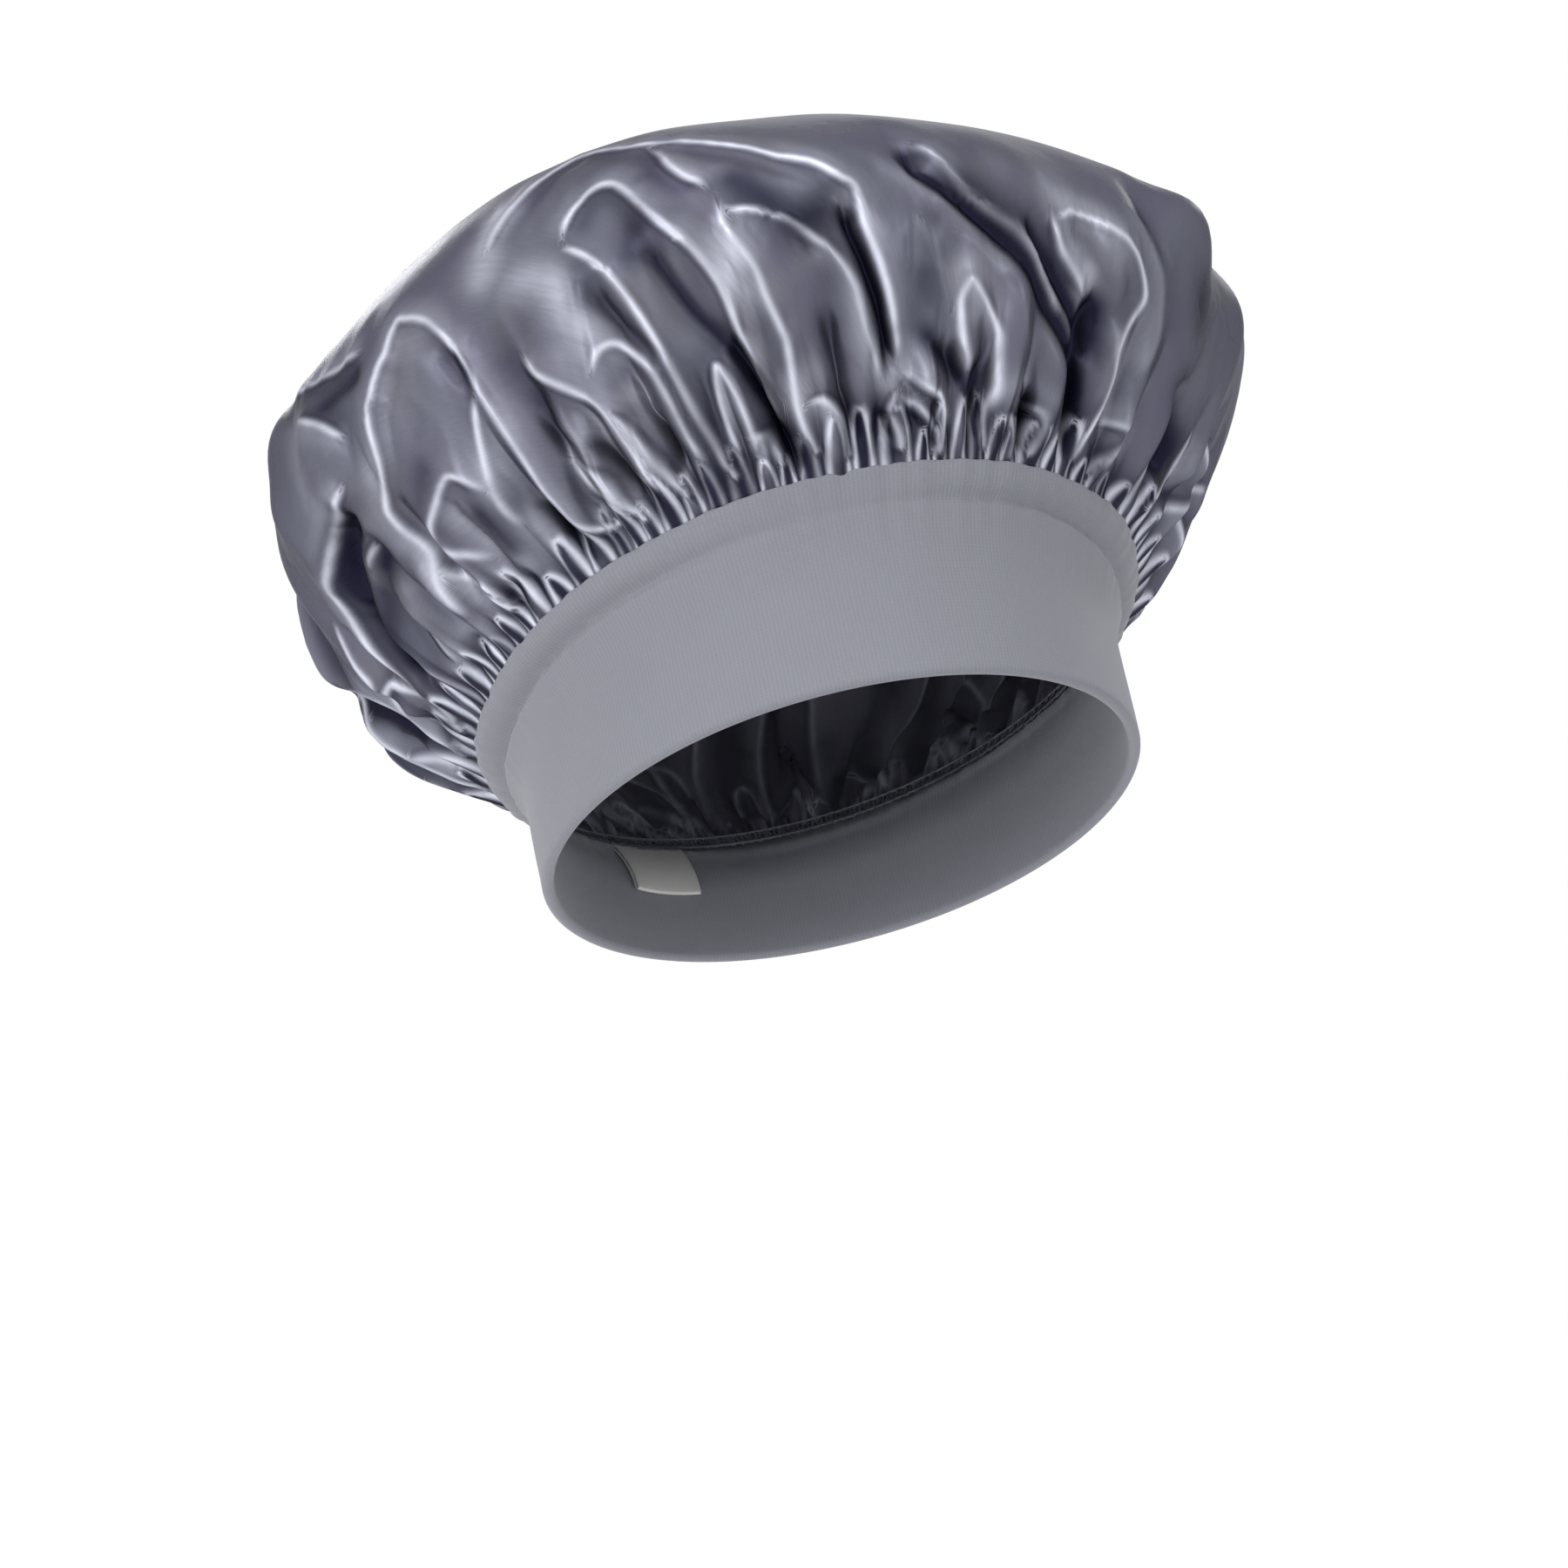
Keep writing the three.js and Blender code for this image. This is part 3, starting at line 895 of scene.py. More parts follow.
# Crests of folds.
RIDGES: tuple[Fold, ...] = (
    traced(2.2, 3, 0.3, 294.8, 33, 292, 37, 291.5, 40, 289.8, 55, 289.2, 68, 289, 100, 288.8, 260, 288, 300,
           286.5, 338, 285.5, 357, 284.2, 378, 282.2, 398, 281.5, 403, 280, 335, 278.5, 325, 274.5, 285,
           273.2, 258, 271.5, 215, 267.8, 188, 267, 180, 266.8, 160, 267.5, 122, 266, 105, 265, 85,
           264.5, 55),
    traced(1.6, 2.6, 0, 288, 215, 286, 185, 285, 170, 282.8, 130, 282.5, 105, 282.8, 80),
    traced(1.8, 2.6, 0.2, 282.8, 125, 281.5, 142, 280, 158, 278.5, 165, 274.5, 152, 271.5, 140, 270, 122,
           270.5, 115, 273, 92, 274.8, 75),
    traced(1.8, 2.8, 0.4, 266.2, 113, 267.2, 87, 270.5, 52, 271.2, 33),
    traced(2.4, 3.4, 1, 264.8, 240, 263.2, 230, 257, 225, 252.8, 220, 249.5, 207, 246.8, 193, 244.2, 170,
           242, 135, 241, 102, 240.5, 60, 239.8, 48, 238.5, 25),
    traced(2, 3, 0, 239.8, 193, 236, 158, 235.5, 122, 230.8, 122, 230.2, 120, 227, 75),
    traced(1.3, 1.8, -0.6, 261.2, 172, 258, 170, 254.8, 168),
    traced(1.7, 2.6, -1, 253.5, 500, 259, 463, 265, 430, 270, 413, 275.5, 390),
    traced(1.8, 2.8, 0.8, 260.5, 390, 266.2, 318, 268.2, 280),
    traced(1.4, 2.4, -0.4, 256.5, 120, 253.8, 83, 253, 62, 253, 43),
    traced(1.8, 2.6, -0.4, 296, 225, 296.5, 200, 297, 193, 300.5, 150, 301.5, 130, 301.8, 115, 302.8, 83,
           302.8, 62, 303.2, 43),
    traced(1.4, 2.2, 1, 301.8, 133, 303.2, 115, 305.2, 45, 306.2, 30),
    traced(1.6, 2.4, 0.5, 293.5, 110, 296.5, 83, 297, 68, 297.2, 45, 298.8, 28),
    traced(1.6, 2.4, -1, 294, 110, 294, 85, 294.2, 72, 295.5, 55, 297.5, 40),
    traced(2, 3, -0.2, 302, 170, 303.2, 185, 304.5, 193, 305.8, 195, 307, 190, 308.2, 172, 309, 158,
           309.8, 130, 310, 80, 311, 48),
    traced(2, 2.8, 0, 304.2, 350, 306.2, 323, 307.5, 302, 309, 270, 310.5, 220, 311.8, 147, 312.2, 92,
           313, 60, 313.2, 43, 314, 28),
    traced(2, 3, -0.7, 304.5, 360, 305.2, 400, 306.2, 432, 308, 455, 310, 458, 311.2, 450, 311.8, 443,
           313, 412, 315.5, 323, 318.2, 278, 320, 230, 320.5, 207, 320.8, 165, 322.5, 90, 323.8, 58),
    traced(2.2, 3, -0.4, 295, 415, 296, 445, 297.5, 482, 299.5, 517, 301.2, 547, 303.5, 573, 306, 588,
           310, 565, 313.2, 540, 317, 530, 320, 520, 322.8, 503, 325.5, 482, 328.5, 455, 332.8, 407,
           334, 388, 336.2, 335, 337.5, 325, 337.8, 312, 338, 258, 339, 220, 340.2, 168, 341, 98),
    traced(1.8, 2.4, -0.7, 341.2, 92, 345, 72, 347.2, 65, 348.2, 45, 347.2, 13),
    traced(1.6, 2.2, -1, 341, 75, 339.8, 68, 339, 58, 338.8, 52, 340.2, 33, 340.5, 20),
    traced(1.4, 2, -0.9, 340.2, 72, 342, 60, 343.8, 52, 346.5, 35, 347.2, 25, 346.8, 13),
    traced(1.9, 2.8, 0.2, 322.8, 320, 324, 312, 326, 307, 329.5, 278, 333.2, 235, 334.5, 217, 336, 180,
           336.2, 140, 337.5, 105, 337.8, 87),
    traced(2.2, 4.2, 0, 322.5, 343, 322.5, 305, 322.8, 278, 324.5, 233, 324.8, 220, 325, 190, 326, 150,
           326.2, 142, 325.2, 65, 327, 28),
    traced(1.6, 2.2, 1, 326.2, 75, 327.2, 77, 328.8, 77, 330.5, 68, 331.5, 48, 332, 18),
    traced(1.6, 2.4, 0.6, 316, 40, 315.5, 60, 315.8, 113, 316.8, 138, 317.8, 115, 318.2, 90, 318.5, 60,
           318, 43),
    traced(1.4, 2, 1, 317.8, 43, 318.5, 60, 320.5, 55, 321.5, 28),
    traced(1.5, 2, -0.8, 316, 522, 317.2, 495, 318, 453, 319.5, 413, 321, 395, 321.8, 367),
    traced(1.9, 2.8, 0, 350.8, 87, 349.8, 113, 349, 160, 349.2, 170, 350, 182, 350.5, 188, 351.5, 177,
           355.5, 135, 355.5, 113, 356.2, 70, 355.2, 50, 355.5, 18),
    traced(1.2, 2.6, -0.3, 346.2, 450, 349.5, 320, 353.2, 280, 356.2, 255, 360.2, 212, 363, 182, 365, 158),
    traced(1.6, 3.4, -1, 361.8, 290, 362.2, 260, 363.2, 235, 366, 207, 368.2, 185),
    traced(2.2, 3.2, -0.2, 362.2, 275, 364.5, 292, 366, 300, 370.8, 285, 375.2, 260, 377.5, 230, 378.5, 205,
           375.2, 158, 374.8, 142, 374.8, 133, 375.5, 115, 375.8, 85, 374.8, 55, 374.5, 25),
    traced(0.9, 3.2, 0.2, 373.2, 352, 375, 333, 376.8, 307, 378.5, 275, 380.5, 245, 381.5, 212, 382.2, 170,
           381, 122),
    traced(2, 2.6, -0.9, 401.5, 138, 403, 113, 403.2, 85, 402.2, 62, 399, 35),
    traced(2, 2.6, -0.4, 419.5, 147, 409, 65, 406.8, 37),
    traced(1.4, 2.2, -0.6, 377.8, 65, 381.2, 75, 383, 72, 383.2, 70, 383, 58, 380, 28, 379.8, 20),
    traced(1.4, 2, 0.9, 357.8, 37, 358.5, 48, 358.5, 50, 359.5, 45, 360.5, 30, 360.8, 13),
    traced(1.4, 2, -1, 362, 60, 364.5, 60, 364.8, 55, 365.2, 45, 364.2, 18),
    traced(0.8, 3, -0.2, 344.8, 263, 345.8, 217, 347, 177, 348, 152),
    traced(0.8, 3, 0, 348.8, 247, 351.8, 230, 354.8, 200, 357.5, 168, 359.5, 125, 361, 92),
)

# Creases between folds.
VALLEYS: tuple[Fold, ...] = (
    traced(6, 2.6, 0, 344.8, 455, 345.2, 362, 347, 323, 351.2, 278, 353.8, 255, 357, 225, 358.8, 205,
           367.5, 125, 368.8, 115, 370.2, 98, 372, 72, 372.2, 60, 372.2, 30),
    traced(6, 2.8, 0, 357.2, 273, 362, 217, 365, 185, 368.5, 150, 370.2, 120, 372, 70, 372.2, 45),
    traced(5, 3.6, 0, 336.2, 305, 336, 260, 337.5, 205, 338.5, 163, 339.2, 115, 339.2, 90),
    traced(2.5, 2.6, 0, 329, 265, 330.8, 245, 332.5, 225),
    traced(2.8, 4.5, 0, 331.8, 177, 332.5, 105, 333.5, 72, 333.8, 37),
    traced(8, 3, 0, 319.2, 165, 324, 15),
    traced(4.2, 3, 0, 313.5, 302, 316.2, 195, 318.2, 165, 320, 130, 322.5, 60),
    traced(3.6, 4.2, 0, 306, 280, 307.8, 223, 310, 170, 310.8, 145),
    traced(3.6, 2.8, 0, 308.2, 110, 308, 65, 308.2, 45),
    traced(3.5, 3.5, 0, 295, 200, 295.2, 165, 294, 135, 295, 120, 296, 105),
    traced(3.4, 2.4, 0, 297.2, 122, 298.8, 95, 300, 65, 303.2, 20),
    traced(3.5, 3.4, 0, 286.8, 300, 287.8, 270, 288.2, 242, 288.2, 217),
    traced(6, 3.4, 0, 287.2, 95, 288.2, 22),
    traced(9, 5, 0, 263, 215, 257.8, 207, 254.5, 203, 253, 198, 250.8, 185, 248.5, 163, 245, 110,
           244.8, 62),
    traced(4.5, 5.5, 0, 262.2, 193, 261.5, 182, 261.2, 170, 260.2, 158, 255.8, 145, 253.8, 138),
    traced(5, 2.8, 0, 274, 55, 272.8, 28, 272.5, 15),
    traced(4, 2.8, 0, 278.2, 50, 276.8, 33),
    traced(4, 2.6, 0, 259.2, 55, 260, 30),
    traced(4, 2.6, 0, 255.5, 28, 257, 3),
    traced(3.5, 3, 0, 263.8, 372, 271, 350, 276, 357),
    traced(5, 3, 0, 232.2, 72, 231.8, 52, 233.5, 30),
    traced(3, 2.4, 0, 242, 177, 239.5, 142, 238.8, 113, 234.8, 105, 234.5, 83),
    traced(6, 4, 0, 353, 113, 352.5, 60, 353.5, 35),
    traced(4, 3, 0, 343.5, 145, 345.2, 120, 346.5, 110, 348.2, 102, 349.2, 92, 352.5, 52, 353.5, 30),
    traced(5, 2.8, 0, 363, 83, 362.5, 52, 362.5, 20),
    traced(9, 3.6, 0, 391.8, 163, 394.8, 122, 397.8, 87, 398.2, 55),
    traced(4, 2.6, 0, 407, 100, 406, 75, 403.8, 48),
    traced(8, 5, 0, 371.8, 205, 370, 170, 370.5, 138, 371.5, 105),
    traced(3, 7, 0, 390, 330, 390.5, 305, 390, 268, 391.8, 195),
    traced(6, 2.8, 0, 337, 60, 338.5, 28, 338.8, 15),
    traced(4.5, 2.8, 0, 333.5, 77, 333.8, 48, 333.8, 25),
    traced(3, 2.2, 0, 342, 72, 346, 55, 346.5, 35),
    traced(4, 2.4, 0, 340.5, 58, 342.2, 50, 344, 40, 345.2, 22),
)

# Painted sheen, where the satin shines between its folds. A tone's row is how strong it is, how wide, and its
# route.
SHEENS: tuple[Fold, ...] = (
    traced(0.85, 7.5, 0, 295.2, 357, 298.5, 315, 301.8, 292, 303.2, 255, 304, 217, 304, 185),
    traced(1, 6, 0, 322.2, 315, 322.8, 260, 322.8, 220, 323.8, 188, 324.8, 163),
    traced(0.5, 8, 0, 364, 265, 366.8, 237, 368, 205),
    traced(0.55, 4.5, 0, 350.5, 175, 351.5, 147, 352.5, 130),
    traced(0.9, 6, 0, 267.2, 155, 266, 122, 265.2, 92, 265.5, 65),
    traced(0.8, 5, 0, 236.8, 80, 238.5, 52, 240, 33),
    traced(0.35, 5, 0, 271.5, 70, 273.2, 43),
    tone(0.9, 7, 296.8, 485, 295.2, 443, 294.5, 375),
    tone(0.5, 7, 284.3, 338, 282, 338),
    tone(0.4, 5, 277.8, 295, 273.2, 235, 269.2, 217),
    tone(0.85, 8, 298, 118, 298, 88, 298.8, 52),
    tone(0.8, 6, 306.8, 128, 306.5, 88, 307.8, 55),
    tone(0.35, 6, 301, 208, 304.8, 182),
    tone(0.55, 6, 320, 128, 320.2, 90, 319.8, 52),
    tone(0.8, 7, 328, 92, 331.5, 80),
    tone(0.7, 5, 341.5, 92, 342.2, 68),
    tone(0.9, 5, 336.2, 290, 336.8, 223, 337, 163, 337.5, 118, 338.2, 83),
    tone(0.5, 5, 344.8, 348, 348.2, 288, 352.5, 245, 354.8, 220),
    tone(0.6, 7, 2.5, 318, 7, 295, 11.8, 263),
    tone(0.5, 6, 350.2, 200, 353, 158),
    tone(0.7, 4, 7.8, 215, 7.8, 198),
    tone(0.6, 4, 14.8, 152, 16, 95),
    tone(0.9, 5, 359.5, 75, 359.8, 60),
    tone(0.5, 4, 22.5, 55, 23.8, 45),
    tone(0.6, 6, 274.8, 130, 276, 92, 278.2, 58),
    tone(0.4, 6, 288, 170, 283.2, 135),
    tone(0.7, 5, 266.5, 80, 272.8, 58),
    tone(0.5, 5, 264.2, 37, 255.8, 52, 251.5, 37),
    tone(0.4, 5, 240.8, 138, 241, 88),
    tone(0.5, 5, 284, 75, 283.8, 30),
    tone(0.45, 5, 291.5, 85, 292.2, 52),
    tone(0.4, 8, 258.8, 375, 257, 273),
    tone(0.35, 4, 256.8, 177, 253.5, 168),
)

# Painted shade, where it turns away from the light.
SHADES: tuple[Fold, ...] = (
    tone(0.55, 8, 299, 283, 296.5, 253, 294.8, 225),
    tone(0.75, 6, 313, 323, 312, 288),
    tone(0.65, 6, 306.2, 292, 305, 253),
    tone(0.45, 5, 315, 422, 317, 335),
    tone(0.85, 8, 325, 380, 327.5, 312, 329.5, 270, 333.5, 283),
    tone(0.35, 6, 334, 250, 335.5, 212),
    tone(0.75, 5, 310.8, 145, 311.2, 100, 312.8, 62, 313, 28),
    tone(0.5, 5, 324, 215, 324, 163, 324.5, 122),
    tone(0.4, 6, 332.8, 198, 331.8, 158),
    tone(0.5, 5, 344.2, 190, 343, 138),
    tone(0.8, 7, 351, 312, 354, 285, 356.5, 258),
    tone(0.4, 5, 346.5, 263, 346.8, 220),
    tone(0.7, 4, 339, 48, 338.5, 15),
    tone(0.7, 4, 346.5, 37, 347.8, 10),
    tone(0.7, 4.5, 352.5, 60, 357, 28, 363, 20, 366.5, 55),
    tone(0.9, 6, 32.5, 145, 36.2, 115, 38.8, 90),
    tone(0.4, 4, 16.2, 18, 30.8, 33, 37.5, 45),
    tone(0.6, 5, 276.2, 180, 270.8, 150),
    tone(0.6, 5, 264.5, 130, 262.2, 103),
    tone(0.8, 7, 252.8, 138, 248, 110),
    tone(0.5, 5, 255.2, 217, 248.8, 217),
    tone(0.7, 5, 237.8, 62, 232.8, 40, 229, 13),
    tone(0.8, 5, 279, 113, 279.2, 75),
)

# Wide dips below the folds.
HOLLOWS: tuple[Fold, ...] = (
    traced(6, 13, 0, 284, 310, 280, 260, 276, 200, 273, 170),
    traced(3, 8, 0, 278.5, 120, 276, 80),
    traced(3.5, 9, 0, 299, 450, 304, 475, 309, 485),
    traced(3.5, 11, 0, 325, 430, 331, 360, 334.5, 310),
    traced(4, 8, 0, 308.5, 385, 310.5, 330, 311.8, 280),
    traced(1.2, 7, 0, 305.5, 160, 307.5, 120, 308, 80),
    traced(2.5, 10, 0, 331, 220, 333, 150),
    traced(3, 5.5, 0, 351.3, 155, 352.6, 110),
    traced(4.5, 10, 0, 371, 260, 373, 210, 372, 160),
    traced(2.5, 9, 0, 252, 300, 249, 250),
    traced(3, 9, 0, 398, 280, 403, 200),
)


@dataclass(frozen=True)
class Laid:
    """Points of the flat cut laid on the crown's smooth oval."""

    theta: Points
    run: Points
    share: Points
    oval: Points
    facing: Points


@dataclass(frozen=True)
class Beside:
    """How points lie beside a fold's path."""

    near: Points
    away: Points
    side: Points
    ends: Points


@dataclass(frozen=True)
class Gather:
    """The small gather at the seam that each point is in."""

    phase: Points
    turns: Points
    size: Points
    length: Points


@dataclass(frozen=True)
class Swell:
    """A place where the crown swells out of its oval, or sinks into it."""

    angle: float
    share: float
    spread: float
    spread_share: float
    height: float


SWELLS = (
    Swell(302, 0.61, 24, 0.13, 4.5),
    Swell(352, 0.60, 22, 0.12, -2.25),
    Swell(337, 0.62, 10, 0.08, -2.2),
    Swell(14, 0.47, 12, 0.08, -1.5),
    Swell(26, 0.38, 9, 0.06, 8.5),
    Swell(49, 0.35, 12, 0.09, 3.4),
    Swell(66, 0.22, 20, 0.10, -2.25),
    Swell(213, 0.17, 10, 0.085, 8.2),
    Swell(243, 0.33, 6, 0.05, 2.6),
    Swell(251, 0.46, 9, 0.06, 7.0),
    Swell(268, 0.53, 9, 0.08, -3.0),
)


@dataclass(frozen=True)
class Settling:
    """How the satin settles in Blender's cloth, enlarged and softly held to the shape it starts from."""

    scale: float = 10.0
    frames: int = 12
    most_move: float = 12.0
    shape_hold: float = 0.5
    hold_stiffness: float = 0.02
    pressure: float = 2.4
    stretch_stiffness: float = 15.0
    shear_stiffness: float = 9.0
    bending_stiffness: float = 0.05
    damping: float = 5.0
    bending_damping: float = 0.5
    air_damping: float = 1.0
    gravity: float = 0.15
    mass: float = 0.1
    quality: int = 5

    def hold(self, cloth: bpy.types.Object, seam: Points) -> bpy.types.ClothSettings:
        """Makes an object cloth.

        Args:
            cloth: The object.
            seam: The numbers of its points at the seam, which stay where they are.

        Returns:
            The cloth's settings.
        """
        held = cloth.vertex_groups.new(name="seam")
        held.add(list(range(len(cloth.data.vertices))), self.shape_hold, "REPLACE")
        held.add(seam.tolist(), 1.0, "REPLACE")
        modifier = cloth.modifiers.new("Cloth", "CLOTH")
        modifier.collision_settings.use_collision = False
        modifier.point_cache.frame_start = 1
        modifier.point_cache.frame_end = self.frames + 1
        settings = modifier.settings
        settings.quality = self.quality
        settings.mass = self.mass
        settings.air_damping = self.air_damping
        settings.tension_stiffness = settings.compression_stiffness = self.stretch_stiffness
        settings.shear_stiffness = self.shear_stiffness
        settings.bending_stiffness = self.bending_stiffness
        settings.tension_damping = settings.compression_damping = settings.shear_damping = self.damping
        settings.bending_damping = self.bending_damping
        settings.vertex_group_mass = held.name
        settings.pin_stiffness = self.hold_stiffness
        settings.use_pressure = True
        settings.uniform_pressure_force = self.pressure
        settings.effector_weights.gravity = self.gravity
        return settings

    def settle(self, mesh: bpy.types.Mesh, flat: Points, worn: Points, seam: Points) -> Points:
        """Lets the cloth settle from its worn start, with its flat cut as its unstretched shape.

        Args:
            mesh: The flat cut.
            flat: Its points.
            worn: The points to start from.
            seam: The numbers of the points at the seam.

        Returns:
            The settled points.
        """
        cloth = link("cloth", mesh.copy())
        write_points(cloth.data, worn * MM * self.scale)
        cloth.shape_key_add(name="Worn")
        unstretched = cloth.shape_key_add(name="Flat")
        unstretched.data.foreach_set("co", (flat * MM * self.scale).ravel())
        self.hold(cloth, seam).rest_shape_key = unstretched
        scene = bpy.context.scene
        scene.frame_start, scene.frame_end = 1, self.frames + 1
        for number in range(1, self.frames + 1):
            scene.frame_set(number)
        settled = cloth.evaluated_get(bpy.context.evaluated_depsgraph_get()).to_mesh()
        move = read_rows(settled.vertices, "co") / (MM * self.scale) - worn
        bpy.data.objects.remove(cloth)
        scene.frame_set(1)
        far = np.linalg.norm(move, axis=1, keepdims=True)
        log.info("cloth moved %.1f mm on average, %.1f at most", far.mean(), far.max())
        return worn + move * np.minimum(1.0, self.most_move / np.maximum(far, 1e-6))


@dataclass
class Crown:
    """The satin crown: a flat round cut, gathered round its edge and filled with air by a simulation."""

    band: Band
    half_width: float = 149.0
    half_length: float = 152.0
    widest_height: float = 125.0
    front_lift: float = 7.0
    top_height: float = 205.0
    set_back: float = 1.0
    rise_angle: float = 50.0
    under_reach: float = 34.0
    under_drop: float = 20.0
    widest_share: float = 0.34
    shoulder_share: float = 0.36
    cap_share: float = 0.55
    seam_inset: float = 1.6
    seam_drop: float = 1.2
    lining_gap: float = 1.0
    sink: float = 1.5
    seam_free: float = 4.0
    folds_free: float = 16.0
    shade_free: float = 8.0
    flat_radius: float = 272.0
    spokes: int = 592
    ring_step: float = 2.85
    seam_belt: float = 75.0
    top_radius: float = 110.0
    cap_radius: float = 9.0
    side_rings: float = 1.35
    top_rings: float = 2.6
    halved_below: tuple[float, ...] = (192.0, 100.0, 50.0, 25.0)
    settling: Settling = Settling()
    gathers: int = 92
    gather_pitch: float = 7.0
    gather_sizes: Span = (0.65, 1.35)
    gather_lengths: Span = (13.0, 34.0)
    gather_height: float = 3.8
    gather_grown: float = 7.0
    pair_height: float = 3.0
    pair_grown: float = 18.0
    pair_belt: Span = (28.0, 22.0)
    broad_height: float = 1.5
    broad_grown: float = 40.0
    broad_belt: Span = (62.0, 36.0)
    loop_half: float = 2.3
    # How strong the painted shade and painted sheen are, and how far shade strokes dim the painted highlight
    # lines.
    darkest_depth: float = 4.4
    slope_shade: float = 0.55
    slope_sheen: float = 0.4
    crest_shade: float = 0.75
    shaded_slope: Span = (0.2, 1.8)
    shaded_reach: Span = (2.5, 9.5)
    lit_slope: float = 1.5
    lit_reach: Span = (0.5, 9.5)
    ridge_power: float = 1.5
    tone_power: float = 2.0
    fade_floor_share: float = 0.035
    nape_copies_below: float = 0.24
    nape_mirror: float = 470.0
    nape_sway: float = 3.0
    nape_span: tuple[float, float, float] = (73.0, 226.0, 8.5)
    nape_foot_share: Span = (0.01, 0.03)
    nape_climb_share: Span = (0.40, 0.80)
    nape_bend: float = 16.0
    nape_sizes: Span = (0.65, 1.15)
    climbing_ridge: Fold = Fold(3.6, 5.5, ((0.0, 0.0),), 0.7, 35.0)
    climbing_valley: Fold = Fold(4.2, 6.0, ((4.5, 0.0),), 0.0, 35.0)

    def base(self, theta: Points, share: Points) -> Points:
        """The crown's smooth oval.

        Args:
            theta: Angles.
            share: Shares of the way from the seam to the top.

        Returns:
            The points there.
        """
        edge = self.band.flare + self.band.thickness - self.seam_inset
        rise = math.radians(self.rise_angle)
        seam = self.band.height(theta) - self.seam_drop
        widest = self.widest_height + self.front_lift * np.cos(theta)
        low = share < self.widest_share
        t = np.where(low, share / self.widest_share, (share - self.widest_share) / (1 - self.widest_share))

        def half(seam_half: float, widest_half: float) -> Points:
            """The half axis at each share.

            Args:
                seam_half: The half axis at the seam.
                widest_half: The half axis at the widest height.

            Returns:
                The half axes.
            """
            out = seam_half + self.under_reach * math.cos(rise)
            under = cubic(seam_half, out, widest_half, widest_half, t)
            return np.where(low, under, cubic(widest_half, widest_half, self.cap_share * widest_half, 0.0, t))

        x = half(self.band.half_width + edge, self.half_width) * np.sin(theta)
        y = -half(self.band.half_length + edge, self.half_length) * np.cos(theta)
        dome = self.top_height - widest
        turn = seam + self.under_reach * math.sin(rise)
        under = cubic(seam, turn, widest - self.under_drop, widest, t)
        over = cubic(widest, widest + self.shoulder_share * dome, self.top_height, self.top_height, t)
        y = y + self.set_back * smooth(share / self.widest_share)
        return np.stack([x, y, np.where(low, under, over)], -1)

    def outward(self, theta: Points, share: Points) -> Points:
        """The way that the smooth oval faces.

        Args:
            theta: Angles.
            share: Shares of the way from the seam to the top.

        Returns:
            The outward directions there.
        """
        nudge = 1e-3
        share = np.clip(share, nudge, 1 - 3 * nudge)
        along = self.base(theta + nudge, share) - self.base(theta - nudge, share)
        up = self.base(theta, share + nudge) - self.base(theta, share - nudge)
        across = np.cross(along, up)
        return across / np.linalg.norm(across, axis=-1, keepdims=True)

    def shares(self, theta: Points, run: Points) -> Points:
        """The share of the way up at which a length of cloth from the edge has been used.

        Args:
            theta: The angle of each point.
            run: Its share of the flat cut's radius, counted from the edge.

        Returns:
            Its share of the way from the seam to the top.
        """
        spokes, steps = 72, 200
        grid = np.linspace(0, 1, steps + 1)
        inverse = []
        for spoke in range(spokes + 1):
            length = lengths_along(self.base(np.full_like(grid, FULL_TURN * spoke / spokes), grid))
            inverse.append(np.interp(grid, length / length[-1], grid))
        table = np.array(inverse)
        column = theta / FULL_TURN * spokes
        row = run * steps
        c0, r0 = np.minimum(column.astype(int), spokes - 1), np.minimum(row.astype(int), steps - 1)
        c, r = column - c0, row - r0
        low = table[c0, r0] * (1 - r) + table[c0, r0 + 1] * r
        high = table[c0 + 1, r0] * (1 - r) + table[c0 + 1, r0 + 1] * r
        return np.clip(low * (1 - c) + high * c, 0, 1)

    def swell(self, laid: Laid) -> Points:
        """How far the swells stand out.

        Args:
            laid: The points on the smooth oval.

        Returns:
            The distance out of each.
        """
        room = np.minimum(1.0, (1 - laid.share) / (1 - self.widest_share))
        total = np.zeros_like(laid.theta)
        for s in SWELLS:
            away = turned(np.degrees(laid.theta) - s.angle)
            total += s.height * bell(away * room / s.spread) * bell((laid.share - s.share) / s.spread_share)
        return total

    def lay(self, flat: Points) -> Laid:
        """Lays the flat cut on the smooth oval.

        Args:
            flat: Points of the flat cut.

        Returns:
            Where they lie on the oval.
        """
        theta = np.arctan2(flat[:, 0], -flat[:, 1]) % FULL_TURN
        run = np.clip(self.flat_radius - np.hypot(flat[:, 0], flat[:, 1]), 0, self.flat_radius)
        share = self.shares(theta, run / self.flat_radius)
        return Laid(theta, run, share, self.base(theta, share), self.outward(theta, share))

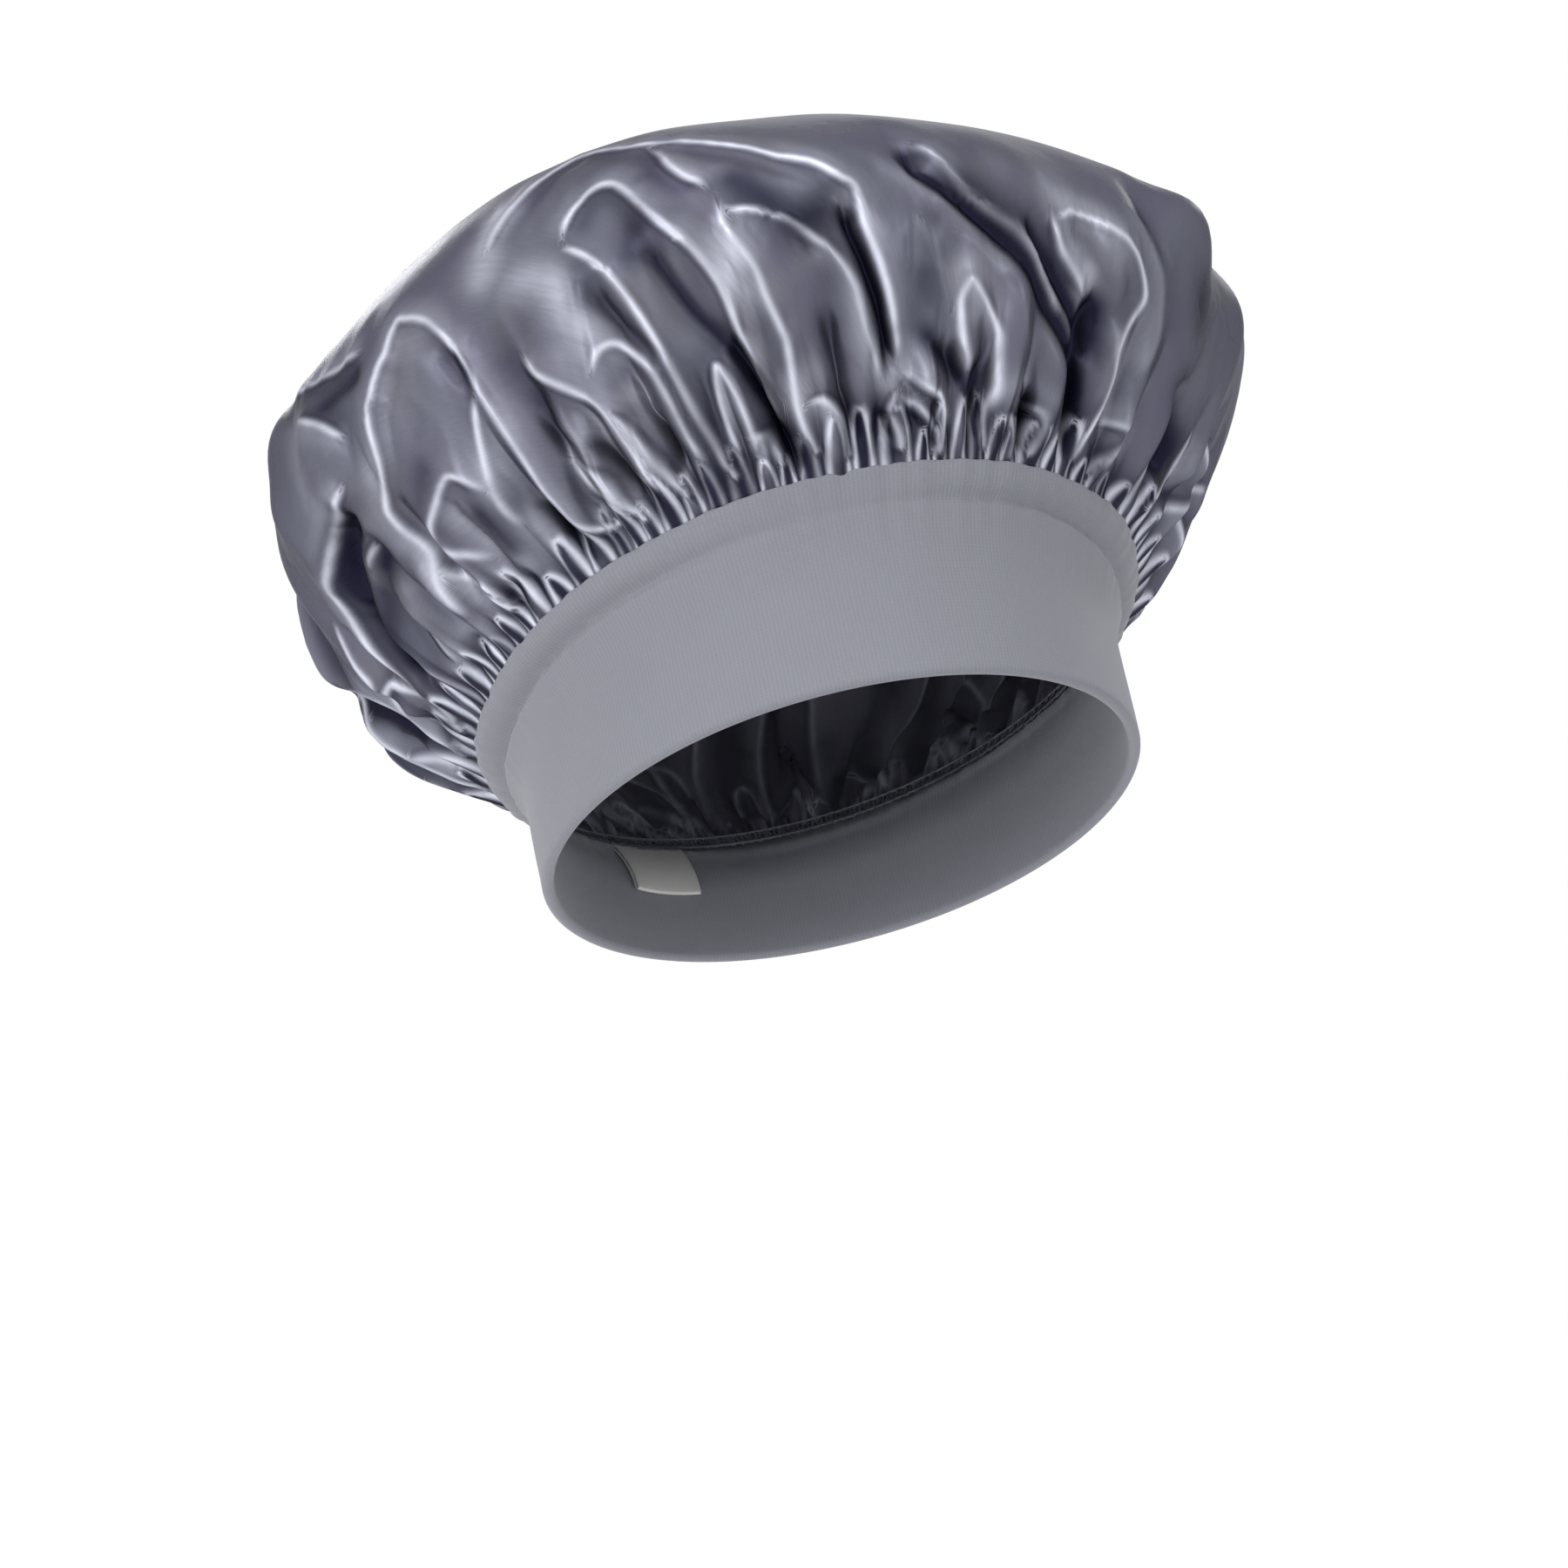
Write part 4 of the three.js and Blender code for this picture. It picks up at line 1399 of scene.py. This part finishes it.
    def beside(self, laid: Laid, fold: Fold) -> Beside:
        """Measures how points lie beside a fold's path.

        Args:
            laid: The points on the smooth oval.
            fold: The fold.

        Returns:
            The points within reach of it, with their distances, sides and nearness to its ends.
        """
        least_reach, rounds = 14.0, 6
        path = np.array(fold.path)
        knots = np.arange(len(path))
        fine = np.linspace(0, len(path) - 1, rounds * len(path))
        line = self.base(np.radians(np.interp(fine, knots, path[:, 0])), np.interp(fine, knots, path[:, 1]))
        for _ in range(rounds):
            line[1:-1] = (line[:-2] + 2 * line[1:-1] + line[2:]) / 4
        gone = lengths_along(line)
        reach = max(least_reach, 3.0 * fold.spread)
        low, high = line.min(axis=0) - reach, line.max(axis=0) + reach
        near = np.where(((laid.oval > low) & (laid.oval < high)).all(axis=1))[0]
        points, facing = laid.oval[near], laid.facing[near]
        best, where, hand = np.full(len(near), 1e9), np.zeros(len(near)), np.ones(len(near))
        for a, b, start in zip(line[:-1], line[1:], gone[:-1]):
            way = b - a
            length = max(float(np.linalg.norm(way)), 1e-6)
            t = np.clip((points - a) @ way / length**2, 0, 1)
            gap = points - (a + t[:, None] * way)
            away = np.linalg.norm(gap, axis=1)
            closer = away < best
            turn = np.einsum("ij,ij->i", np.cross(way, gap), facing)
            best = np.where(closer, away, best)
            where = np.where(closer, start + t * length, where)
            hand = np.where(closer, np.where(turn < 0, -1.0, 1.0), hand)
        ends, fade = np.ones(len(near)), max(fold.fade, 2.5 * fold.spread)
        for share, from_end in ((path[0, 1], where), (path[-1, 1], gone[-1] - where)):
            if fold.fade and share > self.fade_floor_share:
                ends = ends * smooth(from_end / fade + 0.12)
        return Beside(near, best, best * hand, ends)

    def relief(self, laid: Laid, folds: Sequence[Fold], power: float) -> Points:
        """How far ridges stand out of the smooth oval, or valleys lie in it.

        Args:
            laid: The points on the smooth oval.
            folds: The ridges or the valleys.
            power: 2 for a rounded section and nearer 1 for a pinched one.

        Returns:
            The greatest rise at each point.
        """
        slope_length = 1.5
        most, least = np.zeros(len(laid.theta)), np.zeros(len(laid.theta))
        for fold in folds:
            found = self.beside(laid, fold)
            gentle = 1 + 1.8 * abs(fold.lean) * smooth(-found.side * fold.lean / slope_length + 0.3)
            rise = fold.rise * np.exp(-((found.away / (fold.spread * gentle)) ** power)) * found.ends
            most[found.near] = np.maximum(most[found.near], rise)
            if fold.lean:
                steep = smooth(found.side * fold.lean / slope_length)
                groove = 0.6 * fold.rise * steep * bell((found.away - 1.4 * fold.spread) / fold.spread)
                least[found.near] = np.maximum(least[found.near], groove * found.ends)
        return most - least

    def loops(self, laid: Laid) -> tuple[Points, Points]:
        """The painted highlight loops drawn on the small gathers at the seam.

        Args:
            laid: The points on the smooth oval.

        Returns:
            The distance from the loop's line in millimetres, below 0 inside it, and how bright its painted
            highlight is.
        """
        gather = self.rhythm(laid)
        wide = self.loop_half * (0.55 + 0.45 * gather.size)
        tall = 0.62 * gather.length
        across, up = (gather.phase - 0.5) * self.gather_pitch / wide, laid.run / tall
        round_it = np.maximum(np.hypot(across, up), 1e-3)
        slope = np.hypot(across / wide, up / tall) / round_it
        small_size, dim = 0.8, 0.35
        bright = np.where(gather.size < small_size, dim, 1.0)
        return (round_it - 1) / np.maximum(slope, 1e-3), bright

    def crest(self, laid: Laid, folds: Sequence[Fold]) -> dict[str, Points]:
        """How each point lies beside the nearest crest.

        Args:
            laid: The points on the smooth oval.
            folds: The ridges, to which the gathers' own loops are added.

        Returns:
            The distance in millimetres with a sign for the side, the plain distance, the crest's lean and how
            bright its painted highlight line is, which sinks where a fold and a loop are as near as each
            other.
        """
        loop_lag, end_lag, clash = 0.6, 1.2, 1.2
        least_rise, rise_span = 0.6, 1.3
        side, glow = self.loops(laid)
        side = side * 1.5
        away, lean = np.abs(side) + loop_lag, np.zeros(len(side))
        loop_away, fold_away = away.copy(), np.full(len(side), 1e9)
        for fold in folds:
            found = self.beside(laid, fold)
            far = found.away + end_lag * (1 - found.ends)
            fold_away[found.near] = np.minimum(fold_away[found.near], far)
            closer = far < away[found.near]
            chosen = found.near[closer]
            away[chosen], side[chosen], lean[chosen] = far[closer], found.side[closer], fold.lean
            glow[chosen] = smooth((fold.rise - least_rise) / rise_span) * found.ends[closer]
        glow = glow * (0.3 + 0.7 * smooth(np.abs(loop_away - fold_away) / clash))
        return {"crest_side": side, "crest_away": away, "crest_lean": lean, "crest_glow": glow}

    def slopes(self, laid: Laid, folds: Sequence[Fold]) -> tuple[Points, Points]:
        """How far each point lies on the steep side of a leaning crest, for painted shade, and on its gentle
        side, for painted sheen.

        Args:
            laid: The points on the smooth oval.
            folds: The ridges.

        Returns:
            The two shares, from 0 to 1.
        """
        dark, lit = np.zeros(len(laid.theta)), np.zeros(len(laid.theta))
        for fold in folds:
            if not fold.lean:
                continue
            found = self.beside(laid, fold)
            steep, strength = found.side * math.copysign(1.0, fold.lean), abs(fold.lean) ** 0.5 * found.ends
            foot, turn = self.shaded_slope
            shaded = strength * smooth((steep - foot) / turn) * fall(found.away, *self.shaded_reach)
            bright = strength * smooth(-steep / self.lit_slope) * fall(found.away, *self.lit_reach)
            dark[found.near] = np.maximum(dark[found.near], shaded)
            lit[found.near] = np.maximum(lit[found.near], bright)
        return dark, lit

    def all_folds(self, folds: Sequence[Fold], climbing: Fold | None = None) -> list[Fold]:
        """The folds of the brow side, and the nape side's own in a different rhythm.

        Args:
            folds: The folds of the brow side, of which the short ones come again on the nape side.
            climbing: The rise, spread and lean of the long folds that climb the nape side, if there are any.

        Returns:
            All of them.
        """
        made = list(folds)
        for number, fold in enumerate(folds):
            if max(share for _, share in fold.path) > self.nape_copies_below:
                continue
            sway, stretch = self.nape_sway * math.sin(2.4 * number), 1 + 0.1 * math.sin(number)
            angles = (
                self.nape_mirror - angle + sway + self.nape_sway * math.sin(math.radians(angle) * 3)
                for angle, _ in fold.path
            )
            path = tuple(zip(angles, (share * stretch for _, share in fold.path)))
            made.append(Fold(fold.rise * (1 + 0.2 * math.sin(1.7 * number)), fold.spread, path, -fold.lean))
        return made + (self.climbing_folds(climbing) if climbing else [])

    def climbing_folds(self, like: Fold) -> list[Fold]:
        """Long soft folds that climb the nape side.

        Args:
            like: A fold with their size and lean, whose path gives how far they are moved round.

        Returns:
            The folds.
        """
        rng = np.random.default_rng(11)
        made = []
        for angle in np.arange(*self.nape_span):
            foot, climb = rng.uniform(*self.nape_foot_share), rng.uniform(*self.nape_climb_share)
            bend, wave = rng.uniform(-self.nape_bend, self.nape_bend), rng.uniform(0.0, FULL_TURN)
            size = rng.uniform(*self.nape_sizes)
            lean = like.lean * rng.choice([-1.0, 1.0])
            path = tuple(
                (angle + like.path[0][0] + bend * t**1.6 + 2.0 * math.sin(wave + 5.0 * t), foot + climb * t)
                for t in np.linspace(0, 1, 9)
            )
            made.append(Fold(like.rise * size, like.spread * size, path, lean, like.fade))
        return made

    def billow(self, laid: Laid) -> Points:
        """How far the nape side and the top puff out between their soft radial dips.

        Args:
            laid: The points on the smooth oval.

        Returns:
            The distance out of each.
        """
        theta, share = laid.theta, laid.share
        nape_angle, nape_spread, puff_height, slack_height = 145.0, 75.0, 3.0, 0.9
        behind = 0.15 + 0.85 * bell(turned(np.degrees(theta) - nape_angle) / nape_spread)
        dips = np.cos(9 * theta + 2.2 * np.sin(2 * theta) + 5.0 * share)
        dips = dips + 0.6 * np.cos(15 * theta - 4.0 * share + 1.0)
        slack = np.cos(26 * theta + 3.0 * np.sin(2 * theta + 4.0 * share) + 6.0 * share)
        puffs = puff_height * dips * bell((share - 0.45) / 0.26)
        puffs = puffs + slack_height * slack * bell((share - 0.4) / 0.22)
        return behind * puffs * smooth((0.95 - share) / 0.3)

    def rhythm(self, laid: Laid) -> Gather:
        """Finds the small gather at the seam that each point is in.

        Args:
            laid: The points on the smooth oval.

        Returns:
            The gathers, each with its own size and length.
        """
        rng = np.random.default_rng(7)
        theta = laid.theta
        sway = 1.1 * np.sin(7 * theta + 0.5) + 0.8 * np.sin(13 * theta + 2) + 0.5 * np.sin(29 * theta + 1)
        turns = self.gathers * (theta + np.radians(sway)) / FULL_TURN
        number = np.floor(turns).astype(int) % self.gathers
        size = rng.uniform(*self.gather_sizes, self.gathers)[number]
        length = rng.uniform(*self.gather_lengths, self.gathers)[number]
        return Gather(turns % 1.0, turns, size, length)

    def fine_gathers(self, laid: Laid) -> Points:
        """How far the small gathers at the seam stand out: rounded puffs with pinched gaps.

        Args:
            laid: The points on the smooth oval.

        Returns:
            The distance out of each.
        """
        gather, run = self.rhythm(laid), laid.run
        puff = np.abs(np.sin(np.pi * gather.phase)) ** 0.8
        grow = 0.35 + 0.65 * smooth(run / self.gather_grown)
        small = self.gather_height * (gather.size * puff - 0.5) * grow * np.exp(-((run / gather.length) ** 2))
        pairs = self.pair_height * np.cos(math.pi * gather.turns + 1.0) * smooth(run / self.pair_grown)
        broad = self.broad_height * np.cos(0.5 * math.pi * gather.turns + 0.3 + 1.5 * np.sin(3 * laid.theta))
        middle, half = self.pair_belt
        small = small + pairs * bell((run - middle) / half)
        middle, half = self.broad_belt
        return small + broad * smooth(run / self.broad_grown) * bell((run - middle) / half)

    def gaps(self, laid: Laid) -> Points:
        """How much painted shade each point gets between two gathers, inside some loops and just above the
        seam.

        Args:
            laid: The points on the smooth oval.

        Returns:
            The shares of painted shade, from 0 to 1.
        """
        gather = self.rhythm(laid)
        away = self.gather_pitch * np.minimum(gather.phase, 1 - gather.phase)
        gap_half, line_half, blur, skipped, under_reach = 1.5, 0.7, 1.2, 2.7, 12.0
        between = bell(away / gap_half) * bell(laid.run / (0.9 * gather.length))
        inside = smooth((-line_half - self.loops(laid)[0]) / blur)
        inside = inside * smooth((gather.turns % skipped - 0.5) / 0.5) * 0.9
        # Painted shade along the seam, just above the band.
        under = 0.52 * bell(laid.run / under_reach)
        return np.maximum(between, inside) * (1 - under) + under

    def flat_cut(self) -> bpy.types.Mesh:
        """Cuts the flat round of satin as rings, with fewer points to a ring towards the middle.

        Returns:
            The flat mesh.
        """
        radius, segments = self.flat_radius, self.spokes
        bm = bmesh.new()
        inner: list = []
        while radius > self.cap_radius:
            _, edges = circle(bm, segments, radius)
            if inner:
                bmesh.ops.bridge_loops(bm, edges=inner + edges)
            inner = edges
            wider = self.side_rings if radius > self.top_radius else self.top_rings
            radius -= self.ring_step * (1.0 if self.flat_radius - radius < self.seam_belt else wider)
            segments = self.spokes >> sum(radius < limit for limit in self.halved_below)
        cap = bmesh.ops.contextual_create(bm, geom=inner)["faces"]
        bmesh.ops.poke(bm, faces=cap)
        bm.normal_update()
        bmesh.ops.reverse_faces(bm, faces=[face for face in bm.faces if face.normal.z < 0])
        return as_mesh(bm, "crown")

    def start(self, laid: Laid) -> Points:
        """The worn shape that the simulation starts from.

        Args:
            laid: The points on the smooth oval.

        Returns:
            The worn points.
        """
        settled = smooth(laid.run / self.folds_free)
        out = self.swell(laid) - self.sink
        out -= settled * self.relief(laid, self.all_folds(HOLLOWS), self.tone_power)
        out += settled * self.relief(laid, self.all_folds(RIDGES, self.climbing_ridge), self.ridge_power)
        out -= settled * self.relief(laid, self.all_folds(VALLEYS, self.climbing_valley), self.ridge_power)
        out += self.fine_gathers(laid) + self.billow(laid)
        out *= 0.2 + 0.8 * smooth(laid.run / self.seam_free)
        worn = laid.oval + laid.facing * out[:, None]
        worn[laid.run > self.flat_radius - 1e-3] = self.base(np.array([0.0]), np.array([1.0]))[0]
        return worn

    def mark(self, mesh: bpy.types.Mesh, laid: Laid) -> None:
        """Keeps on each point how it lies in the folds, for the satin's bump and for its painted shade,
        painted sheen and painted highlight lines.

        Args:
            mesh: The mesh.
            laid: Its points on the smooth oval.
        """
        ridges = self.all_folds(RIDGES, self.climbing_ridge)
        settled = smooth(laid.run / self.shade_free)
        sunk, shaded, shining = (
            self.relief(laid, self.all_folds(folds, climbing), self.tone_power)
            for folds, climbing in ((VALLEYS, self.climbing_valley), (SHADES, None), (SHEENS, None))
        )
        dark, lit = self.slopes(laid, ridges)
        # fold_shade is painted shade: sunk valleys, the steep sides of crests, the gaps between gathers and
        # the shade strokes. fold_sheen is painted sheen.
        open_to_light = 1 - np.clip(settled * sunk / self.darkest_depth, 0, 1)
        open_to_light *= (1 - self.slope_shade * settled * dark) * (1 - self.gaps(laid))
        open_to_light *= 1 - shaded
        values = self.crest(laid, ridges)
        # The painted highlight lines are dimmed where shade strokes lie.
        values["crest_glow"] = values["crest_glow"] * (1 - self.crest_shade * shaded)
        values["fold_shade"] = 1 - open_to_light
        values["fold_sheen"] = np.clip(shining + self.slope_sheen * settled * lit, 0, 1)
        for name, value in values.items():
            keep(mesh, name, value)

    def finer(self, mesh: bpy.types.Mesh) -> bpy.types.Mesh:
        """Subdivides a mesh once.

        Args:
            mesh: The mesh.

        Returns:
            The finer mesh.
        """
        holder = link("crown", mesh)
        modifier = holder.modifiers.new("finer", "SUBSURF")
        modifier.levels = modifier.render_levels = 1
        fine = bpy.data.meshes.new_from_object(holder.evaluated_get(bpy.context.evaluated_depsgraph_get()))
        bpy.data.objects.remove(holder)
        return fine

    def layer(
        self, name: str, mesh: bpy.types.Mesh, satin: bpy.types.Material, slot: Slot, node: str
    ) -> None:
        """Marks and dresses one layer of satin.

        Args:
            name: The piece's name.
            mesh: The layer's settled mesh, with its places in the flat cut.
            satin: The layer's material.
            slot: The layer's slot. Not used.
            node: The CAD node that it stands for.
        """
        flat = read_rows(mesh.attributes["flat"].data, "vector")
        mesh.attributes.remove(mesh.attributes["flat"])
        self.mark(mesh, self.lay(flat))
        piece = as_piece(name, mesh)
        dress(piece, satin, [node])

    def build(self, satin: bpy.types.Material, lining: bpy.types.Material) -> None:
        """Builds and dresses the crown, and its lining a little way in.

        Args:
            satin: The crown's material.
            lining: The lining's material.
        """
        mesh = self.flat_cut()
        flat = read_rows(mesh.vertices, "co")
        worn = self.start(self.lay(flat))
        seam = np.where(np.hypot(flat[:, 0], flat[:, 1]) > self.flat_radius - 0.5)[0]
        worn = self.settling.settle(mesh, flat, worn, seam)
        lay_uv(mesh, "cloth", 0.5 + flat[:, :2] / (2 * self.flat_radius), False)
        keep(mesh, "flat", flat)
        write_points(mesh, worn)
        inner = mesh.copy()
        inward = self.lining_gap * read_rows(inner.vertex_normals, "vector")
        write_points(inner, read_rows(inner.vertices, "co") - inward)
        self.layer("crown_satin", self.finer(mesh), satin, Slot.CROWN, "crown_shell")
        self.layer("crown_lining_satin", inner, lining, Slot.LINING, "crown_lining")


# Trim


@dataclass
class Trim:
    """Threads, seam and label inside and behind the band."""

    band: Band
    overlock_pitch: float = 3.0
    overlock_below: float = 4.5
    overlock_rise: float = 0.9
    overlock_dip: float = 0.4
    loop_steps: int = 12
    loop_gap: float = 0.75
    loop_swing: float = 0.35
    run_gap: float = 1.15
    thread_radius: float = 0.32
    seam_thread_radius: float = 0.2
    seam_foot: float = 3.2
    seam_head: float = 2.2
    zigzag_rows: int = 26
    zigzag_half: float = 0.55
    zigzag_lift: float = 0.38
    edge_half: float = 0.75
    edge_steps: int = 40
    edge_lift: float = 0.22
    label_width: float = 26.0
    label_length: float = 19.0
    label_tape: float = 0.35
    label_bend: float = 0.6
    label_gap: float = 0.55
    label_curl: float = 0.9
    label_drop: float = 0.3
    label_out: float = 8.0
    label_columns: int = 22
    label_rows: int = 16

    def overlock(self, finish: bpy.types.Material) -> None:
        """Lays the overlock's loops over the raw edges, inside the band's top.

        Args:
            finish: The thread's material.
        """
        band = self.band
        count = round(FULL_TURN * (band.half_width + band.flare) / self.overlock_pitch)
        phase = np.arange(count * self.loop_steps) / self.loop_steps
        theta = FULL_TURN * phase / count
        turn = FULL_TURN * (phase % 1.0)
        top = band.height(theta)
        swing = 0.5 - 0.5 * np.cos(turn)
        height = top + self.overlock_rise - (self.overlock_below + self.overlock_dip) * swing
        out = band.lean(theta, np.minimum(height, top)) - self.loop_gap + self.loop_swing * np.sin(turn)
        paths = [band.around(theta + 0.45 * np.sin(2 * turn) / 90, out, height)]
        ring = np.linspace(0, FULL_TURN, 361)[:-1]
        for level in (self.overlock_rise, -self.overlock_below + self.overlock_rise):
            high = band.height(ring) + level
            out = band.lean(ring, np.minimum(high, band.height(ring))) - self.run_gap
            paths.append(band.around(ring, out, high))
        piece = as_piece("overlock_stitching", thread_mesh(paths, self.thread_radius, True))
        dress(piece, finish, ["overlock_thread"])

    def back_seam(self, finish: bpy.types.Material) -> None:
        """Lays the narrow zigzag seam up the centre back of the band, between two straight rows.

        Args:
            finish: The thread's material.
        """
        band = self.band
        low, high = self.seam_foot, band.back_height - self.seam_head
        zigzag = np.where(np.arange(self.zigzag_rows) % 2, self.zigzag_half, -self.zigzag_half)
        rows = [(side, self.zigzag_lift) for side in (zigzag, -zigzag)]
        for side in (-self.edge_half, self.edge_half):
            rows.append((np.full(self.edge_steps, side), self.edge_lift))
        paths = []
        for side, lift in rows:
            height = np.linspace(low, high, len(side))
            theta = BACK + side / (band.half_width + band.flare)
            paths.append(band.on(theta, band.thickness + lift + band.pull(theta, height), height))
        piece = as_piece("back_seam_stitching", thread_mesh(paths, self.seam_thread_radius, False))
        dress(piece, finish, ["band_back_seam"])

    def label(self, finish: bpy.types.Material) -> None:
        """Folds a blank label and hangs it inside the centre back.

        Args:
            finish: The tape's material.
        """
        band, bend = self.band, self.label_bend
        top = band.back_height - self.overlock_below - self.label_drop
        straight = self.label_length - bend
        path = [(-2 * bend, -straight * i) for i in np.linspace(0, 1, self.label_rows)]
        for a in np.linspace(0, math.pi, 7)[1:-1]:
            path.append((-bend - bend * math.cos(a), -straight - bend * math.sin(a)))
        path += [(0.0, -straight * i) for i in np.linspace(1, 0, self.label_rows)]
        run = lengths_along(np.array(path))
        bm = bmesh.new()
        bmesh.ops.create_grid(bm, x_segments=self.label_columns - 1, y_segments=len(path) - 1, size=1.0)
        uv = bm.loops.layers.uv.new("tape")
        across = np.linspace(-self.label_width / 2, self.label_width / 2, self.label_columns)
        for vertex in bm.verts:
            x = across[round((vertex.co.x + 1) / 2 * (self.label_columns - 1))]
            row = round((vertex.co.y + 1) / 2 * (len(path) - 1))
            out, drop = path[row]
            for loop in vertex.link_loops:
                loop[uv].uv = (x * MM, run[row] * MM)
            theta = BACK + x / (band.half_width + self.label_out)
            curl = -self.label_curl * (x / self.label_width * 2) ** 2 * (-drop / self.label_length) ** 2
            vertex.co = Vector(band.on(theta, out - self.label_gap + curl, top + drop).tolist())
        piece = as_piece("care_label_blank", as_mesh(bm, "label"))
        wall = piece.modifiers.new("tape", "SOLIDIFY")
        wall.thickness = self.label_tape * MM
        wall.offset = 0.0
        dress(piece, finish, ["care_label"])


def carry_over(finishes: dict[str, bpy.types.Material]) -> None:
    """Dresses the CAD nodes that stay as they are.

    Args:
        finishes: Their names and materials.
    """
    for name, finish in finishes.items():
        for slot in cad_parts[name].material_slots:
            slot.material = finish
        log.info("%s keeps its CAD shape", name)


# Floor, light and camera


@dataclass(frozen=True)
class Lamp:
    """A soft rectangular lamp: metres to the right, in front of the bonnet and above it, and its watts."""

    name: str
    side: float
    front: float
    up: float
    size: Span
    power: float


LAMPS = (
    Lamp("key_spot", -0.75, 1.5, 1.15, (0.22, 0.22), 7.5),
    Lamp("right_spot", 1.2, 1.3, 0.75, (0.16, 0.3), 3.7),
    Lamp("low_spot", -1.3, 1.1, 0.0, (0.16, 0.3), 4.8),
    Lamp("top_soft", -0.3, 0.4, 1.8, (1.2, 0.9), 9.0),
    Lamp("front_soft", -0.9, 2.0, 0.6, (1.2, 1.0), 5.0),
    Lamp("back_soft", 0.3, -1.6, 1.2, (1.2, 1.0), 5.0),
    Lamp("back_spot", -0.7, -1.6, 0.8, (0.2, 0.25), 6.0),
    Lamp("nape_spot", 0.9, -1.5, 1.1, (0.2, 0.25), 5.0),
)


@dataclass
class Studio:
    """A pale floor, soft light and the camera of the photograph."""

    azimuth: float = -34.4
    elevation: float = -4.0
    roll: float = 3.1
    distance: float = 1.7
    sensor: float = 36.0
    lens: float = 132.9
    middle: Span = (966.0, 946.0)
    image_side: float = 1800.0
    aim: tuple[float, float, float] = (0.0, 0.04, 0.1)
    floor_height: float = -0.34
    floor_radius: float = 9.0
    floor_colour: Colour = (0.82, 0.82, 0.82)
    floor_glow: float = 0.62
    world_light: float = 0.55

    def axes(self) -> tuple[Vector, Vector, Vector]:
        """The camera's own directions.

        Returns:
            Its right, up and forward.
        """
        a, e = math.radians(self.azimuth), math.radians(self.elevation)
        ahead = Vector((-math.sin(a) * math.cos(e), math.cos(a) * math.cos(e), -math.sin(e)))
        right = Vector((math.cos(a), math.sin(a), 0.0))
        return right, right.cross(ahead), ahead

    def camera(self) -> None:
        """Sets the camera where the photograph was taken from."""
        data = bpy.data.cameras.new("photograph")
        data.sensor_width = self.sensor
        data.lens = self.lens
        half = self.image_side / 2
        data.shift_x = -(self.middle[0] - half) / self.image_side
        data.shift_y = (self.middle[1] - half) / self.image_side
        camera = link("photograph", data)
        right, up, ahead = self.axes()
        turn = Matrix((right, up, -ahead)).transposed().to_4x4()
        lean = Matrix.Rotation(math.radians(self.roll) * math.cos(math.radians(self.azimuth)), 4, "Z")
        camera.matrix_world = Matrix.Translation(-ahead * self.distance) @ turn @ lean
        bpy.context.scene.camera = camera

    def lights(self) -> None:
        """Hangs the lamps, which face the crown."""
        right, _, ahead = self.axes()
        level = Vector((ahead.x, ahead.y, 0)).normalized()
        for lamp in LAMPS:
            data = bpy.data.lights.new(lamp.name, "AREA")
            data.shape = "RECTANGLE"
            data.size, data.size_y = lamp.size
            data.energy = lamp.power
            hung = link(lamp.name, data)
            hung.location = right * lamp.side - level * lamp.front + Vector((0, 0, lamp.up))
            hung.rotation_euler = (Vector(self.aim) - hung.location).to_track_quat("-Z", "Y").to_euler()

    def world(self) -> None:
        """Lights the whole scene softly, in front of a white background."""
        world = bpy.data.worlds.new("studio")
        bpy.context.scene.world = world
        s = Shader(world)
        strength = s.seen() * (1.0 - self.world_light) + self.world_light
        white = s.node("ShaderNodeBackground", {}, {"Color": (1, 1, 1, 1), "Strength": strength})
        s.node("ShaderNodeOutputWorld", {}, {"Surface": white})

    def floor(self) -> None:
        """Lays the pale floor, whose glow only the camera, metal and glass see."""
        bm = bmesh.new()
        bmesh.ops.create_circle(bm, cap_ends=True, segments=96, radius=self.floor_radius)
        bmesh.ops.translate(bm, verts=bm.verts, vec=(0, 0, self.floor_height))
        bmesh.ops.recalc_face_normals(bm, faces=bm.faces)
        floor = as_piece("floor", as_mesh(bm, "floor"))
        s = Shader.material("pale_floor")
        matte = s.node("ShaderNodeBsdfDiffuse", {}, {"Color": (*self.floor_colour, 1.0)})
        sockets = {"Color": (1, 1, 1, 1), "Strength": s.seen() * self.floor_glow}
        glow = s.node("ShaderNodeEmission", {}, sockets)
        both = s.node("ShaderNodeAddShader", {}, {0: matte, 1: glow})
        s.node("ShaderNodeOutputMaterial", {}, {"Surface": both})
        floor.data.materials.append(s.owner)
        floor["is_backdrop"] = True

    def build(self) -> None:
        """Sets up the whole studio."""
        self.camera()
        self.lights()
        self.world()
        self.floor()
        bpy.context.scene.view_settings.view_transform = "Standard"


def main() -> None:
    """Builds the bonnet and its studio, and logs the corners of the box round what is seen."""
    Studio().build()
    band = Band()
    band.build(Knit().build())
    # The lining's colours are lighter than the crown's: painted light that makes up for the shade inside the
    # crown. Its third colour is painted shade.
    pale, violet, painted_shade = (0.30, 0.303, 0.35), (0.26, 0.258, 0.31), (0.10, 0.10, 0.13)
    lining = Satin(Slot.LINING, plain=pale, violet=violet, painted_shade=painted_shade, metallic=0.1)
    Crown(band).build(Satin(Slot.CROWN).build(), lining.build())
    trim, thread = Trim(band), Thread().build()
    trim.overlock(thread)
    trim.back_seam(thread)
    trim.label(Tape().build())
    carry_over({"band_elastic": Elastic().build(), "elastic_join_stitch": thread, "gathering_thread": thread})
    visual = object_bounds()
    for corner, name in zip(visual, ("lowest", "highest")):
        log.info("%s corner %s", name, [round(v, 4) for v in corner])


if __name__ == "__main__":
    main()
